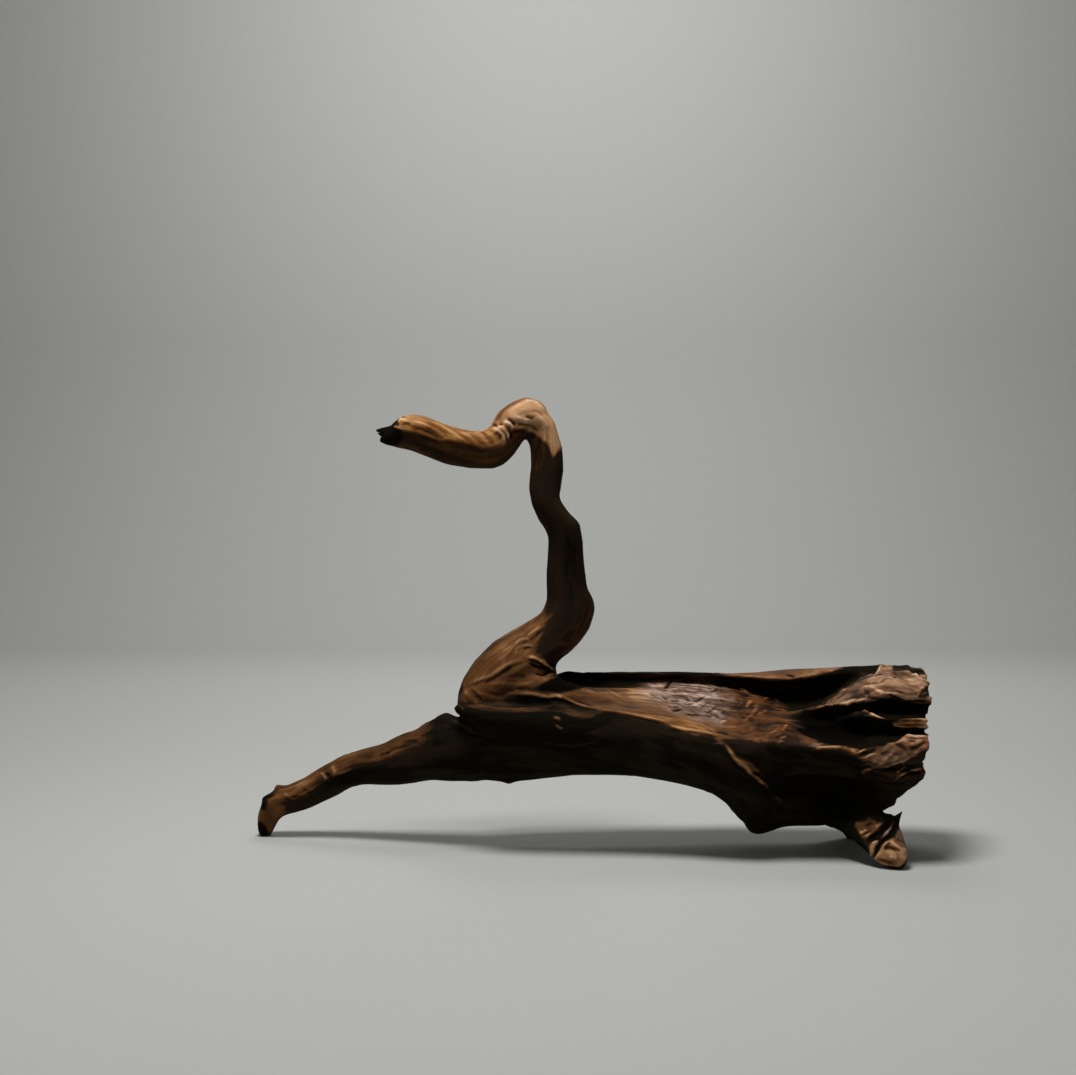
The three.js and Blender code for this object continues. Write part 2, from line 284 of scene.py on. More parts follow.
# Wood grows along the middle of a root. Every point gets two places in the grain: one along the
# stem, from the leg's tip to the broken end, and one along the limb that it belongs to.
grain = {
    "stem": [
        (-207, 46.5, -4), (-207.5, 46.5, 3.3), (-206, 46.5, 10.5), (-200, 45.5, 19.5),
        (-185.5, 44.5, 25), (-165.5, 41.5, 36), (-143.5, 36.5, 46), (-118.5, 30.5, 51.5),
        (-88.5, 22.5, 60), (-55.5, 12.5, 68), (-6.5, 9.5, 75), (41.5, 9.5, 74), (75.5, 7.5, 70),
        (102.5, 7.5, 66), (141.5, 5.5, 64), (181.5, 1.5, 68), (214, -2, 70),
    ],
    "branch": [
        (-70, 9.5, 78), (-62, 9.5, 95), (-52, 10, 108), (-40, 10.5, 120), (-28, 11.5, 130),
        (-18.5, 11.5, 138), (-13.5, 11.5, 147), (-13, 11.5, 155), (-14.5, 9.5, 170),
        (-15.5, 7, 187), (-18, 5.5, 198.5), (-24, 4, 208), (-28, 4.5, 222), (-26.5, 5.5, 234),
        (-27, 6.5, 246), (-30, 6.5, 257), (-39, 5, 265), (-48, 2, 258), (-56, -1.5, 249),
        (-66, -4.5, 244.5), (-88, -9.5, 248.5), (-108, -14.5, 254.5), (-124, -18, 253),
    ],
    "foot": [
        (128, -4, 62), (138, -6, 45), (150, -14, 32), (163, -32, 18), (173, -42, 8), (177, -48, -4),
    ],
    "twist": 0.004,  # radians of turn round the middle, per mm along it
    "blend": 6.0,  # mm, how softly a point takes its place from the middle line
    "step": 1.0,  # mm along the middle line
    "lineRounds": 30,  # of smoothing, on the middle line
    "rounds": 12,  # and on the places in the grain
    "batch": 20000,  # points that are placed at a time
    "branchRun": (-14, 22),  # mm over the fork, where the grain turns from the stem's to the branch's
    "footRun": (-8, 8),
    "footFrom": (60, 90),  # mm along X; the foot's plane also passes over the leg
}


# Round old knots and where fibres have lifted, the grain turns aside.
swirls = [
    # middle (mm), reach (mm, and full within a fifth of it), radians of turn, and axis of the turn
    ((101, -24, 84), 42, -0.6, (0, 0, 1)),
    ((-45, -12, 98), 22, 0.5, (0, 1, 0)),
    ((-34, 2, 262), 18, 0.5, (0, 1, 0)),
    ((60, 40, 60), 30, 0.45, (0, 1, 0)),
    ((-30, 38, 70), 24, -0.5, (0, 1, 0)),
    ((140, 36, 80), 24, 0.4, (0, 1, 0)),
]


def turnedAside(places):
    found = places.copy()
    for middle, reach, turn, axis in swirls:
        gone = places - middle
        share = smoothStep(reach, 0.2 * reach, np.linalg.norm(gone, axis=1))
        ahead = np.array(axis, float)
        angle = (turn * share)[:, None]
        inLine = (gone @ ahead)[:, None] * ahead
        found += (gone - inLine) * (np.cos(angle) - 1) + np.cross(ahead, gone) * np.sin(angle)
    return found


def evenlyAlong(line, step):
    corners = np.array(line, float)
    lengths = np.concatenate([[0], np.cumsum(np.linalg.norm(np.diff(corners, axis=0), axis=1))])
    along = np.arange(0, lengths[-1], step)
    return along, np.stack([np.interp(along, lengths, column) for column in corners.T], axis=1)


def grainPlaces(places, line):
    along, path = evenlyAlong(line, grain["step"])
    for _ in range(grain["lineRounds"]):
        path[1:-1] = 0.5 * path[1:-1] + 0.25 * (path[:-2] + path[2:])
    ahead = unit(np.gradient(path, axis=0))
    side = np.empty_like(ahead)
    side[0] = unit(np.cross(ahead[0], (0.0, 1.0, 0.1)))
    for i in range(1, len(path)):
        side[i] = unit(side[i - 1] - np.dot(side[i - 1], ahead[i]) * ahead[i])
    up = np.cross(ahead, side)
    turn = (grain["twist"] * along)[:, None]
    side, up = side * np.cos(turn) + up * np.sin(turn), up * np.cos(turn) - side * np.sin(turn)
    found = np.empty_like(places)
    for start in range(0, len(places), grain["batch"]):
        batch = slice(start, start + grain["batch"])
        some = places[batch]
        away = (some ** 2).sum(1)[:, None] - 2 * some @ path.T + (path ** 2).sum(1)[None]
        share = np.exp(-(away - away.min(1)[:, None]) / (2 * grain["blend"] ** 2))
        share /= share.sum(1)[:, None]
        for column, axis in enumerate((side, up, ahead)):
            offset = (path * axis).sum(1) - (along if column == 2 else 0)
            found[batch, column] = (some * (share @ axis)).sum(1) - share @ offset
    return found


points = wood.points
branchShare = smoothStep(*grain["branchRun"], heightOver(forks["upright_branch"], points))
footShare = smoothStep(*grain["footRun"], heightOver(forks["front_foot"], points))
footShare *= smoothStep(*grain["footFrom"], points[:, 0])
limbShare = np.maximum(branchShare, footShare)
turned = turnedAside(points)
grainStem = wood.smoothed(grainPlaces(turned, grain["stem"]), grain["rounds"])
grainLimb = grainPlaces(turned, grain["branch"])
byFoot = points[:, 0] > grain["footFrom"][0]
grainLimb[byFoot] = grainPlaces(points[byFoot], grain["foot"])
grainLimb = wood.smoothed(grainLimb, grain["rounds"])
print("grain: done")


fraying = {
    "width": 4.5,  # mm, of a finger of wear
    "length": 20.0,
    "contrast": 2.2,
    "ragged": 0.8,  # share of an outline's soft edge that is frayed
    "drift": 5.0,  # pixels that patches in the hollow are drawn out
}


def frayed(places):
    # -1 to 1, drawn out along the grain, so that a patch of wear ends in fingers
    size = np.array((fraying["width"], fraying["width"], fraying["length"]))
    return np.clip([fraying["contrast"] * noise.noise(Vector(place)) for place in places / size], -1, 1)


fray = frayed(grainStem + limbShare[:, None] * (grainLimb - grainStem))


# Forms read off the view, as lines across the picture that are laid on the skin from the camera.
# Each has its kind, its points, its reach and height in mm, and how much paler the wood is there, partly
# wear and partly painted light: a painted highlight on ridges and ledge tops, painted shade in cracks and
# under ledges.
# A ridge or a crack is the same on both sides; a ledge falls off slowly above and sharply below.
forms = {
    "branchFoot": [
        ("ledge", [(466, 685), (476, 681), (488, 677), (498, 671), (508, 665), (519, 661), (528, 659)],
            2.2, 0.6, 0.22),
        ("crack", [(497, 677), (502, 673), (507, 670), (512, 667)], 1.7, 0.5, -0.3),
        ("crack", [(484, 683), (492, 679), (499, 675)], 1.2, 0.5, -0.3),
        ("ledge", [(527, 657), (534, 658), (541, 661), (549, 667), (557, 673)], 1.9, 1.3, 1.3),
        ("crack", [(528, 662), (536, 666), (547, 668)], 1.4, 1.3, -0.6),
        ("crack", [(535, 673), (542, 675), (547, 673), (550, 670)], 1.1, 0.9, -0.6),
        ("ridge", [(546, 675), (552, 674), (556, 671)], 1.6, 0.7, 0.3),
        ("ridge", [(488, 684), (500, 683), (512, 684), (526, 684), (536, 681)], 1.8, 0.5, 0.22),
        ("crack", [(506, 676), (516, 675), (526, 676)], 2.4, 0.3, -0.15),
        ("crack", [(487, 692), (497, 694), (507, 693)], 1.8, 0.4, -0.3),
        ("crack", [(490, 689), (505, 690), (520, 689), (534, 688)], 1.5, 0.4, -0.25),
        ("ridge", [(514, 645), (519, 640), (526, 638), (531, 641)], 1.6, 0.6, 0.25),
        ("ridge", [(514, 655), (517, 648), (524, 645), (533, 645)], 1.5, 0.6, 0.25),
        ("crack", [(523, 649), (527, 647), (532, 647)], 1.1, 0.7, -0.45),
        ("ridge", [(527, 636), (533, 631), (540, 626)], 1.5, 0.6, 0.25),
        ("ridge", [(536, 642), (540, 635), (544, 631)], 1.3, 0.5, 0.2),
        ("crack", [(529, 641), (536, 635), (541, 629)], 1.3, 0.4, -0.22),
        ("ridge", [(500, 664), (507, 654), (513, 645)], 2.4, 0.4, 0.1),
        ("ridge", [(537, 654), (542, 657), (546, 662)], 1.3, 0.5, 0.2),
        ("ridge", [(463, 686), (466, 693), (472, 699), (480, 702)], 2.2, 0.5, 0.2),
        ("crack", [(471, 688), (475, 694), (483, 699)], 1.7, 0.4, -0.2),
        ("ridge", [(470, 686), (478, 691), (484, 697)], 1.6, 0.4, 0.12),
    ],
    "rim": [
        ("ridge", [(512, 689), (521, 690), (530, 690)], 1.3, 0.4, 0.25),
        ("ledge", [(510, 694), (522, 694), (532, 694), (541, 696), (549, 697), (556, 696), (562, 697),
            (568, 700), (576, 704), (586, 707), (600, 709)], 2.0, 1.2, 0.8),
        ("ledge", [(597, 709), (611, 711), (625, 713), (639, 716), (656, 720), (668, 722)], 2.2, 1.2, 0.3),
        ("ledge", [(668, 723), (673, 727), (680, 729), (699, 731), (712, 734), (723, 737)], 2.0, 1.2, 0.3),
        ("ridge", [(462, 703), (472, 705), (484, 707), (500, 709), (515, 709), (530, 708), (545, 707),
            (555, 705), (563, 707), (572, 711), (580, 715), (587, 716), (591, 713)], 3.4, 1.1, 0.0),
        ("ridge", [(485, 702), (510, 703), (540, 701)], 1.8, 0.2, 0.12),
        ("ridge", [(553, 717), (558, 718), (561, 721)], 1.5, 0.8, 1.7),
        ("ridge", [(555, 724), (559, 727), (564, 729)], 1.3, 0.7, 1.8),
        ("ridge", [(568, 727), (575, 726), (582, 728)], 1.1, 0.5, 0.5),
        ("ridge", [(560, 733), (565, 732), (569, 731)], 1.1, 0.5, 0.4),
        ("ledge", [(536, 738), (548, 742), (560, 745), (572, 746), (586, 743), (600, 742)], 3.4, 1.1, 0.2),
        ("ledge", [(455, 722), (470, 731), (490, 735), (515, 735), (536, 738)], 2.6, 1.2, 0.06),
        ("ridge", [(558, 673), (566, 674), (574, 674), (582, 673)], 1.3, 0.5, 1.0),
        ("ridge", [(459, 705), (462, 707), (464, 710)], 1.1, 0.6, 1.6),
        ("ridge", [(450, 719), (458, 722), (467, 726), (477, 731)], 2.6, 0.5, 0.6),
    ],
    "floor": [
        # plates and cracks of the bleached patch
        ("crack", [(664, 688), (668, 685), (672, 680)], 1.6, 1.2, -0.9),
        ("crack", [(671, 700), (675, 701), (679, 700)], 1.7, 1.0, -0.9),
        ("crack", [(674, 694), (681, 695), (687, 697), (690, 701), (695, 701), (700, 698), (708, 695)],
            1.3, 0.9, -0.7),
        ("crack", [(662, 696), (665, 698), (668, 700)], 1.4, 0.8, -0.6),
        ("crack", [(650, 693), (656, 697), (662, 699)], 1.2, 0.6, -0.4),
        ("crack", [(668, 706), (673, 707), (680, 706)], 1.1, 0.7, -0.6),
        ("crack", [(672, 710), (677, 710), (681, 709)], 1.6, 0.8, -0.7),
        ("crack", [(686, 713), (692, 714), (700, 714)], 2.0, 0.9, -0.7),
        ("crack", [(700, 714), (707, 715), (713, 717)], 1.2, 0.6, -0.45),
        ("crack", [(682, 703), (688, 704), (694, 703)], 1.1, 0.7, -0.5),
        ("crack", [(711, 692), (715, 690), (718, 688)], 1.6, 1.0, -0.7),
        ("crack", [(688, 688), (696, 688), (704, 689)], 1.0, 0.6, -0.4),
        ("crack", [(700, 708), (706, 704), (712, 700)], 1.0, 0.6, -0.35),
        ("crack", [(706, 713), (713, 709), (719, 703)], 1.1, 0.6, -0.4),
        ("crack", [(714, 718), (719, 712), (722, 706)], 1.2, 0.7, -0.4),
        ("ledge", [(676, 684), (685, 685), (700, 686), (712, 688), (716, 690)], 1.7, 0.8, 0.4),
        ("ridge", [(650, 686), (657, 686), (664, 686)], 2.4, 0.6, 0.4),
        ("ridge", [(666, 691), (673, 689), (680, 688)], 2.2, 0.6, 0.35),
        ("ridge", [(681, 692), (686, 694), (691, 694)], 2.2, 0.7, 0.5),
        ("ridge", [(692, 706), (700, 703), (706, 699)], 1.8, 0.6, 0.3),
        ("ridge", [(700, 711), (708, 709), (715, 705)], 1.8, 0.6, 0.3),
        ("ridge", [(712, 718), (718, 714), (722, 709)], 1.6, 0.7, 0.4),
        ("ridge", [(668, 704), (676, 705), (684, 707)], 1.4, 0.5, 0.3),
        # the smoother wood to its left
        ("ridge", [(606, 688), (612, 692), (620, 696), (628, 699)], 1.7, 0.6, 0.3),
        ("crack", [(610, 689), (620, 690), (631, 689)], 3.0, 0.3, -0.2),
        ("crack", [(612, 698), (626, 701), (640, 703)], 1.4, 0.3, -0.15),
        ("crack", [(634, 711), (650, 713), (664, 715), (680, 718)], 1.6, 0.4, -0.25),
        # the lifted fibres to its right
        ("ridge", [(732, 702), (733, 698), (737, 696), (741, 698), (742, 702), (739, 705), (734, 705),
            (732, 702)], 1.2, 0.6, 0.25),
        ("ridge", [(746, 707), (749, 703), (752, 700)], 1.9, 1.0, 0.6),
        ("ridge", [(752, 705), (755, 706), (758, 703)], 1.3, 0.7, 0.4),
        ("ridge", [(744, 722), (750, 716), (756, 709), (759, 704)], 1.6, 0.8, 0.3),
        ("crack", [(742, 716), (746, 718), (750, 720)], 2.0, 0.6, -0.25),
        ("ridge", [(758, 714), (764, 712), (768, 708)], 1.5, 0.7, 0.3),
        ("ridge", [(739, 688), (744, 690), (749, 692)], 1.7, 1.0, 1.0),
        ("crack", [(741, 694), (745, 695), (749, 694)], 1.8, 1.2, -0.7),
        ("ridge", [(763, 699), (768, 697), (774, 698), (780, 702)], 1.5, 0.8, 0.7),
        ("crack", [(766, 701), (770, 702), (774, 702)], 1.5, 0.5, -0.35),
        ("ridge", [(768, 705), (778, 708), (788, 710)], 2.0, 0.6, 0.25),
        ("ridge", [(782, 730), (785, 727), (788, 724)], 1.4, 0.7, 0.5),
        ("ridge", [(780, 737), (784, 737), (787, 735)], 1.4, 0.8, 0.6),
        ("ridge", [(777, 744), (780, 742), (783, 740)], 1.3, 0.7, 0.6),
        ("ridge", [(720, 723), (724, 721), (729, 720)], 1.6, 0.8, 0.5),
        ("crack", [(716, 731), (722, 732), (729, 734)], 1.5, 0.9, -0.6),
        ("ridge", [(770, 733), (774, 731), (778, 731)], 1.4, 0.6, 0.35),
        ("crack", [(730, 712), (740, 713), (748, 710)], 2.2, 0.5, -0.2),
    ],
    "topRim": [
        ("ledge", [(712, 672), (725, 674), (745, 676), (770, 678), (790, 679), (800, 677), (812, 675),
            (822, 672)], 1.8, 0.8, 0.35),
        ("crack", [(787, 674), (791, 675), (795, 677)], 1.4, 1.2, -1.0),
        ("ridge", [(830, 671), (840, 669), (850, 666)], 1.6, 0.7, 0.5),
    ],
    "brokenEnd": [
        ("ledge", [(818, 708), (826, 706), (836, 705), (848, 704), (858, 702), (870, 699)], 1.8, 1.0, 0.9),
        ("ridge", [(846, 702), (856, 700), (866, 699)], 1.8, 0.8, 0.6),
        ("ridge", [(812, 711), (820, 706), (828, 698)], 1.3, 0.8, 0.3),
        ("ridge", [(826, 704), (834, 697), (843, 692), (852, 688)], 1.3, 1.0, 0.8),
        ("crack", [(832, 703), (840, 698), (848, 694), (858, 692)], 1.5, 1.1, -0.9),
        ("crack", [(850, 698), (858, 696), (866, 693), (872, 693)], 1.3, 1.0, -0.8),
        ("crack", [(838, 692), (846, 687), (854, 684), (862, 682)], 1.4, 1.0, -0.7),
        ("ridge", [(850, 691), (857, 687), (864, 685), (871, 686)], 1.4, 1.0, 0.7),
        ("ridge", [(857, 680), (864, 678), (871, 679)], 1.2, 0.8, 0.5),
        ("crack", [(864, 697), (873, 698), (882, 697)], 1.2, 0.8, -0.6),
        ("ridge", [(868, 694), (875, 695), (882, 696)], 1.0, 0.6, 0.5),
        ("crack", [(880, 689), (886, 686), (892, 684)], 1.1, 0.7, -0.5),
        ("crack", [(897, 685), (906, 688), (917, 688)], 1.2, 0.4, -0.25),
        ("ridge", [(822, 706), (830, 701), (838, 697)], 1.2, 0.7, 0.5),
        ("crack", [(829, 706), (838, 701), (846, 699)], 1.1, 0.7, -0.5),
        ("ridge", [(862, 687), (872, 688), (878, 691), (882, 693)], 1.7, 1.1, 1.0),
        ("ridge", [(860, 681), (868, 681), (876, 680), (884, 678)], 1.5, 0.9, 0.5),
        ("crack", [(862, 685), (872, 684), (880, 684), (887, 680), (893, 679)], 1.5, 1.2, -1.0),
        ("crack", [(873, 677), (880, 675), (890, 675), (896, 679), (899, 681)], 1.6, 1.5, -1.0),
        ("ridge", [(872, 678), (877, 674), (880, 669), (880, 664)], 1.5, 1.2, 1.3),
        ("ridge", [(882, 667), (886, 672), (891, 675), (896, 678)], 1.2, 0.9, 0.7),
        ("crack", [(883, 665), (884, 667), (885, 669)], 1.2, 1.2, -1.0),
        ("crack", [(893, 667), (900, 667), (908, 667)], 1.6, 1.0, -0.7),
        ("crack", [(893, 670), (902, 671), (909, 670)], 1.3, 0.6, -0.5),
        ("crack", [(911, 670), (917, 671), (923, 670)], 2.0, 1.6, -1.2),
        ("ridge", [(911, 675), (917, 675), (924, 676)], 1.3, 0.9, 0.9),
        ("ridge", [(880, 691), (882, 693), (884, 694)], 2.0, 0.8, 0.8),
        ("ridge", [(893, 682), (904, 680), (914, 681)], 2.0, 0.5, 0.2),
        ("ridge", [(908, 685), (915, 685), (921, 684)], 2.0, 0.7, 0.4),
        ("crack", [(893, 689), (900, 692), (905, 694), (915, 694), (920, 692), (928, 686)], 1.5, 1.4, -0.9),
        ("ledge", [(885, 693), (895, 695), (903, 698), (910, 700), (922, 700), (930, 698)], 1.9, 1.4, 0.9),
        ("ridge", [(921, 694), (925, 692), (928, 692)], 1.3, 0.6, 0.7),
        ("ridge", [(892, 700), (896, 703), (899, 706)], 1.0, 1.2, 1.0),
        ("ridge", [(899, 706), (903, 707), (908, 707)], 1.6, 1.6, 1.8),
        ("ridge", [(860, 710), (870, 713), (880, 717), (890, 719)], 1.5, 1.4, 1.7),
        ("ledge", [(892, 722), (901, 720), (912, 719), (928, 720)], 1.4, 0.8, 0.5),
        ("crack", [(902, 722), (912, 723), (925, 722)], 0.9, 0.8, -0.5),
        ("ridge", [(893, 723), (900, 725), (910, 726), (927, 725)], 1.5, 0.9, 0.9),
        ("ridge", [(858, 722), (861, 722), (863, 721)], 1.2, 0.8, 1.0),
        ("ridge", [(814, 748), (822, 747), (832, 747), (843, 747)], 2.0, 1.0, 1.5),
        ("ridge", [(842, 747), (850, 751), (857, 756)], 2.8, 1.3, 0.9),
        ("ridge", [(856, 754), (862, 751), (867, 747), (874, 745), (882, 744)], 1.5, 1.3, 1.0),
        ("ridge", [(859, 757), (866, 757), (872, 754), (878, 751)], 1.8, 1.0, 0.45),
        ("ridge", [(871, 757), (875, 759), (879, 760)], 1.1, 0.7, 0.6),
        ("crack", [(862, 754), (869, 751), (876, 748)], 1.2, 1.0, -0.7),
        ("crack", [(864, 761), (870, 761), (874, 763), (880, 761)], 1.4, 1.1, -0.8),
        ("ridge", [(861, 772), (866, 769), (872, 767)], 1.3, 0.9, 0.6),
        ("ridge", [(876, 764), (885, 758), (895, 751)], 1.4, 0.9, 0.4),
        ("ridge", [(878, 768), (890, 763), (903, 760), (914, 754)], 1.4, 0.9, 0.55),
        ("crack", [(884, 763), (892, 760), (900, 759)], 1.0, 0.6, -0.3),
        ("crack", [(880, 755), (887, 752), (893, 747)], 1.3, 0.8, -0.5),
        ("ridge", [(891, 760), (899, 757), (909, 753)], 1.9, 0.6, 0.45),
        ("crack", [(894, 743), (900, 745), (907, 749)], 1.4, 1.0, -0.9),
        ("crack", [(908, 741), (912, 742), (916, 743)], 1.6, 1.1, -0.9),
        ("crack", [(910, 749), (917, 746), (925, 742)], 1.6, 1.2, -0.9),
        ("ledge", [(906, 736), (915, 738), (927, 737)], 2.0, 1.1, 1.0),
        ("ridge", [(896, 742), (902, 740), (907, 742)], 1.7, 0.9, 0.6),
        ("ridge", [(909, 745), (915, 743), (922, 741)], 1.3, 0.8, 0.5),
        ("ridge", [(914, 752), (921, 750), (927, 747)], 1.8, 0.8, 0.35),
        ("ridge", [(896, 773), (901, 769), (907, 765)], 1.5, 0.8, 0.9),
        ("ledge", [(896, 779), (903, 774), (911, 771), (923, 769)], 1.5, 0.8, 1.1),
        ("ridge", [(905, 784), (912, 781), (918, 778)], 1.4, 0.4, 0.3),
        ("ridge", [(816, 765), (819, 764), (822, 763)], 1.3, 0.5, 0.4),
        ("ridge", [(828, 738), (836, 736), (843, 736)], 2.2, 0.7, 0.45),
    ],
    "shell": [
        ("ridge", [(721, 740), (726, 745), (730, 751), (734, 757), (739, 762), (745, 766), (749, 771),
            (755, 776), (761, 781), (767, 786), (771, 791)], 1.9, 1.6, 1.2),
        ("ridge", [(715, 743), (719, 743), (723, 744)], 1.3, 0.7, 0.9),
        ("ridge", [(770, 790), (775, 796), (782, 801)], 1.4, 0.7, 0.15),
        ("ridge", [(759, 771), (761, 773), (764, 776)], 1.4, 0.7, 0.4),
        ("crack", [(751, 771), (754, 773), (757, 775)], 1.2, 0.9, -0.5),
    ],
    "footFace": [
        ("ridge", [(859, 832), (863, 832), (868, 829)], 1.5, 0.7, 0.9),
        ("ridge", [(864, 837), (868, 835), (873, 832)], 1.4, 0.7, 0.9),
        ("crack", [(862, 835), (867, 832), (872, 831)], 1.0, 0.8, -0.8),
        ("ridge", [(875, 827), (879, 825), (883, 823)], 1.8, 0.7, 0.4),
        ("crack", [(866, 826), (870, 823), (873, 824)], 1.8, 0.7, -0.35),
        ("crack", [(868, 840), (874, 836), (881, 831), (887, 826), (893, 820)], 3.0, 2.8, -1.3),
        ("ridge", [(880, 840), (885, 835), (889, 830), (892, 824)], 1.3, 1.6, 0.5),
        ("crack", [(874, 854), (877, 847), (882, 840), (889, 835), (894, 829), (897, 820)], 1.9, 2.4, -1.3),
        ("ridge", [(872, 842), (876, 841), (880, 841)], 1.6, 0.9, 0.6),
        ("ridge", [(881, 847), (884, 844), (888, 841)], 1.6, 1.0, 0.5),
        ("crack", [(885, 848), (888, 844), (890, 841)], 1.2, 0.8, -0.6),
        ("ridge", [(890, 841), (894, 844), (899, 847)], 1.5, 0.8, 0.35),
        ("crack", [(884, 848), (890, 847), (897, 849), (903, 851)], 1.4, 1.0, -0.8),
        ("ridge", [(885, 851), (892, 853), (899, 854)], 2.2, 0.6, 0.25),
        ("ridge", [(899, 856), (902, 857), (906, 857)], 1.4, 0.6, 0.6),
        ("crack", [(895, 851), (898, 855), (898, 859)], 1.0, 0.4, -0.3),
        ("crack", [(897, 838), (901, 841), (906, 843)], 1.2, 0.5, -0.4),
        ("ridge", [(899, 841), (902, 843), (906, 846)], 1.1, 0.4, 0.35),
        ("ridge", [(889, 856), (895, 857), (898, 856)], 1.5, 0.6, 0.9),
        ("ridge", [(875, 857), (878, 855), (881, 851)], 1.3, 0.7, 0.5),
        ("crack", [(876, 859), (884, 860), (893, 863)], 1.7, 0.8, -0.8),
        ("ledge", [(874, 861), (880, 863), (888, 865), (895, 867)], 1.5, 0.7, 0.4),
    ],
    "arm": [
        ("crack", [(491, 424), (497, 425), (503, 424)], 1.6, 1.6, -0.2),
        ("ridge", [(492, 428), (498, 430), (503, 434), (505, 442)], 1.5, 1.1, 0.9),
        ("crack", [(494, 432), (499, 434), (501, 440)], 1.3, 0.7, -0.4),
        ("ridge", [(497, 424), (503, 428), (507, 433), (509, 440)], 1.4, 1.1, 0.9),
        ("crack", [(501, 429), (505, 434), (507, 441)], 1.0, 0.8, -0.5),
        ("ridge", [(504, 421), (510, 424), (514, 429)], 1.7, 1.1, 0.8),
        ("crack", [(509, 430), (511, 434), (511, 438)], 1.2, 0.8, -0.7),
        ("crack", [(507, 417), (512, 421), (516, 426)], 1.4, 1.2, -0.7),
        ("crack", [(405, 415), (418, 416), (432, 420), (448, 426), (461, 431), (480, 432)], 1.2, 0.2, -0.3),
        ("ridge", [(514, 416), (522, 419), (530, 421)], 2.2, 1.0, 0.35),
        ("ridge", [(507, 414), (514, 408), (522, 404)], 2.6, 0.6, 0.12),
        ("crack", [(514, 423), (522, 424), (531, 425), (540, 431)], 2.0, 0.5, -0.3),
        ("crack", [(526, 416), (531, 418), (535, 417)], 1.4, 0.8, -0.45),
        ("ridge", [(524, 402), (532, 402), (540, 405)], 2.4, 0.7, 0.25),
        ("crack", [(531, 410), (538, 411), (545, 416)], 2.2, 0.4, -0.15),
        ("ridge", [(536, 415), (543, 420), (549, 428)], 2.2, 0.6, 0.18),
        ("crack", [(538, 424), (545, 432), (550, 441)], 2.0, 0.4, -0.18),
        ("ridge", [(412, 420), (424, 424), (436, 430), (446, 439)], 1.9, 0.7, 0.3),
        ("crack", [(408, 426), (420, 428), (432, 433), (441, 440)], 1.8, 0.7, -0.4),
        ("crack", [(426, 427), (436, 432), (446, 440)], 1.6, 0.5, -0.3),
        ("ridge", [(428, 420), (442, 426), (456, 435), (466, 442)], 2.0, 0.7, 0.3),
        ("crack", [(444, 425), (456, 431), (468, 439), (474, 444)], 1.9, 0.3, -0.12),
        ("ridge", [(460, 431), (470, 437), (480, 447)], 1.8, 0.4, 0.15),
        ("crack", [(468, 432), (477, 438), (486, 447)], 1.8, 0.35, -0.15),
        ("ridge", [(474, 431), (482, 436), (489, 446)], 1.8, 0.4, 0.15),
        ("crack", [(481, 431), (488, 437), (494, 446)], 1.6, 0.35, -0.15),
        ("ridge", [(486, 431), (493, 437), (498, 445)], 1.6, 0.45, 0.15),
        ("ridge", [(396, 424), (401, 419), (408, 421)], 1.4, 1.2, 0.9),
        ("crack", [(394, 421), (399, 417), (404, 415)], 1.3, 1.0, -0.8),
        ("crack", [(401, 424), (407, 423), (411, 425)], 1.2, 0.8, -0.6),
        ("ridge", [(394, 425), (399, 428), (403, 428)], 1.2, 1.0, 1.3),
    ],
    "leg": [
        ("ledge", [(276, 799), (289, 796), (303, 794), (314, 788), (327, 779), (341, 773), (354, 768)],
            2.0, 0.6, 0.08),
        ("ridge", [(321, 772), (324, 775), (327, 780)], 0.9, 0.9, 1.0),
        ("ridge", [(331, 765), (334, 768), (336, 775)], 2.8, 0.9, 0.35),
        ("crack", [(326, 772), (329, 775), (332, 779)], 1.3, 1.0, -0.6),
        ("ridge", [(338, 774), (345, 772), (352, 768)], 1.3, 0.8, 0.5),
        ("crack", [(379, 755), (385, 753), (391, 752)], 2.0, 0.5, -0.25),
        ("crack", [(402, 742), (410, 740), (418, 741)], 2.2, 0.5, -0.25),
        ("crack", [(356, 757), (366, 757), (376, 756)], 2.2, 0.4, -0.15),
        ("crack", [(312, 772), (330, 762), (350, 752), (376, 745), (400, 735), (412, 733)],
            2.2, 0.2, -0.22),
        ("ridge", [(421, 727), (424, 724), (427, 723)], 2.0, 0.8, 0.6),
        ("crack", [(300, 787), (306, 790), (312, 793)], 2.2, 0.4, -0.2),
        ("ridge", [(284, 792), (290, 797), (297, 799)], 1.3, 0.6, 0.3),
        ("ridge", [(388, 755), (398, 750), (408, 748), (420, 742)], 1.6, 0.6, 0.18),
        ("ridge", [(396, 746), (404, 742), (414, 736)], 1.6, 0.5, 0.12),
        ("ridge", [(274, 789), (285, 790), (298, 785), (308, 780)], 1.6, 0.7, 0.15),
        ("crack", [(262, 803), (268, 797), (276, 793)], 1.3, 0.8, -0.4),
        ("crack", [(290, 799), (298, 794), (308, 789)], 1.2, 0.5, -0.2),
    ],
}
profiles = {
    # share of the reach, above the line first; height there; tone there, with a painted highlight above a
    # ledge and painted shadow below it
    "ledge": ((-1.2, -0.75, -0.42, -0.1, 0.06, 0.4, 1.0), (0, -0.22, -0.45, 0.5, 1.0, 0.62, 0),
              (0, -0.5, -0.8, 0.5, 1.0, 0.35, 0)),
    "ridge": ((-1.0, -0.5, 0.0, 0.5, 1.0), (0, 0.45, 1.0, 0.45, 0), (0, 0.4, 1.0, 0.4, 0)),
    "crack": ((-1.0, -0.4, 0.0, 0.4, 1.0), (0, -0.4, -1.0, -0.4, 0), (0, 0.5, 1.0, 0.5, 0)),
}


carving = {
    "reach": 1.25,  # of a form's reach; the profiles end at 1.2
    "endHeight": 0.2,  # share of the height that is left at either end of a line
    "endRun": 0.18,  # share of the line
}


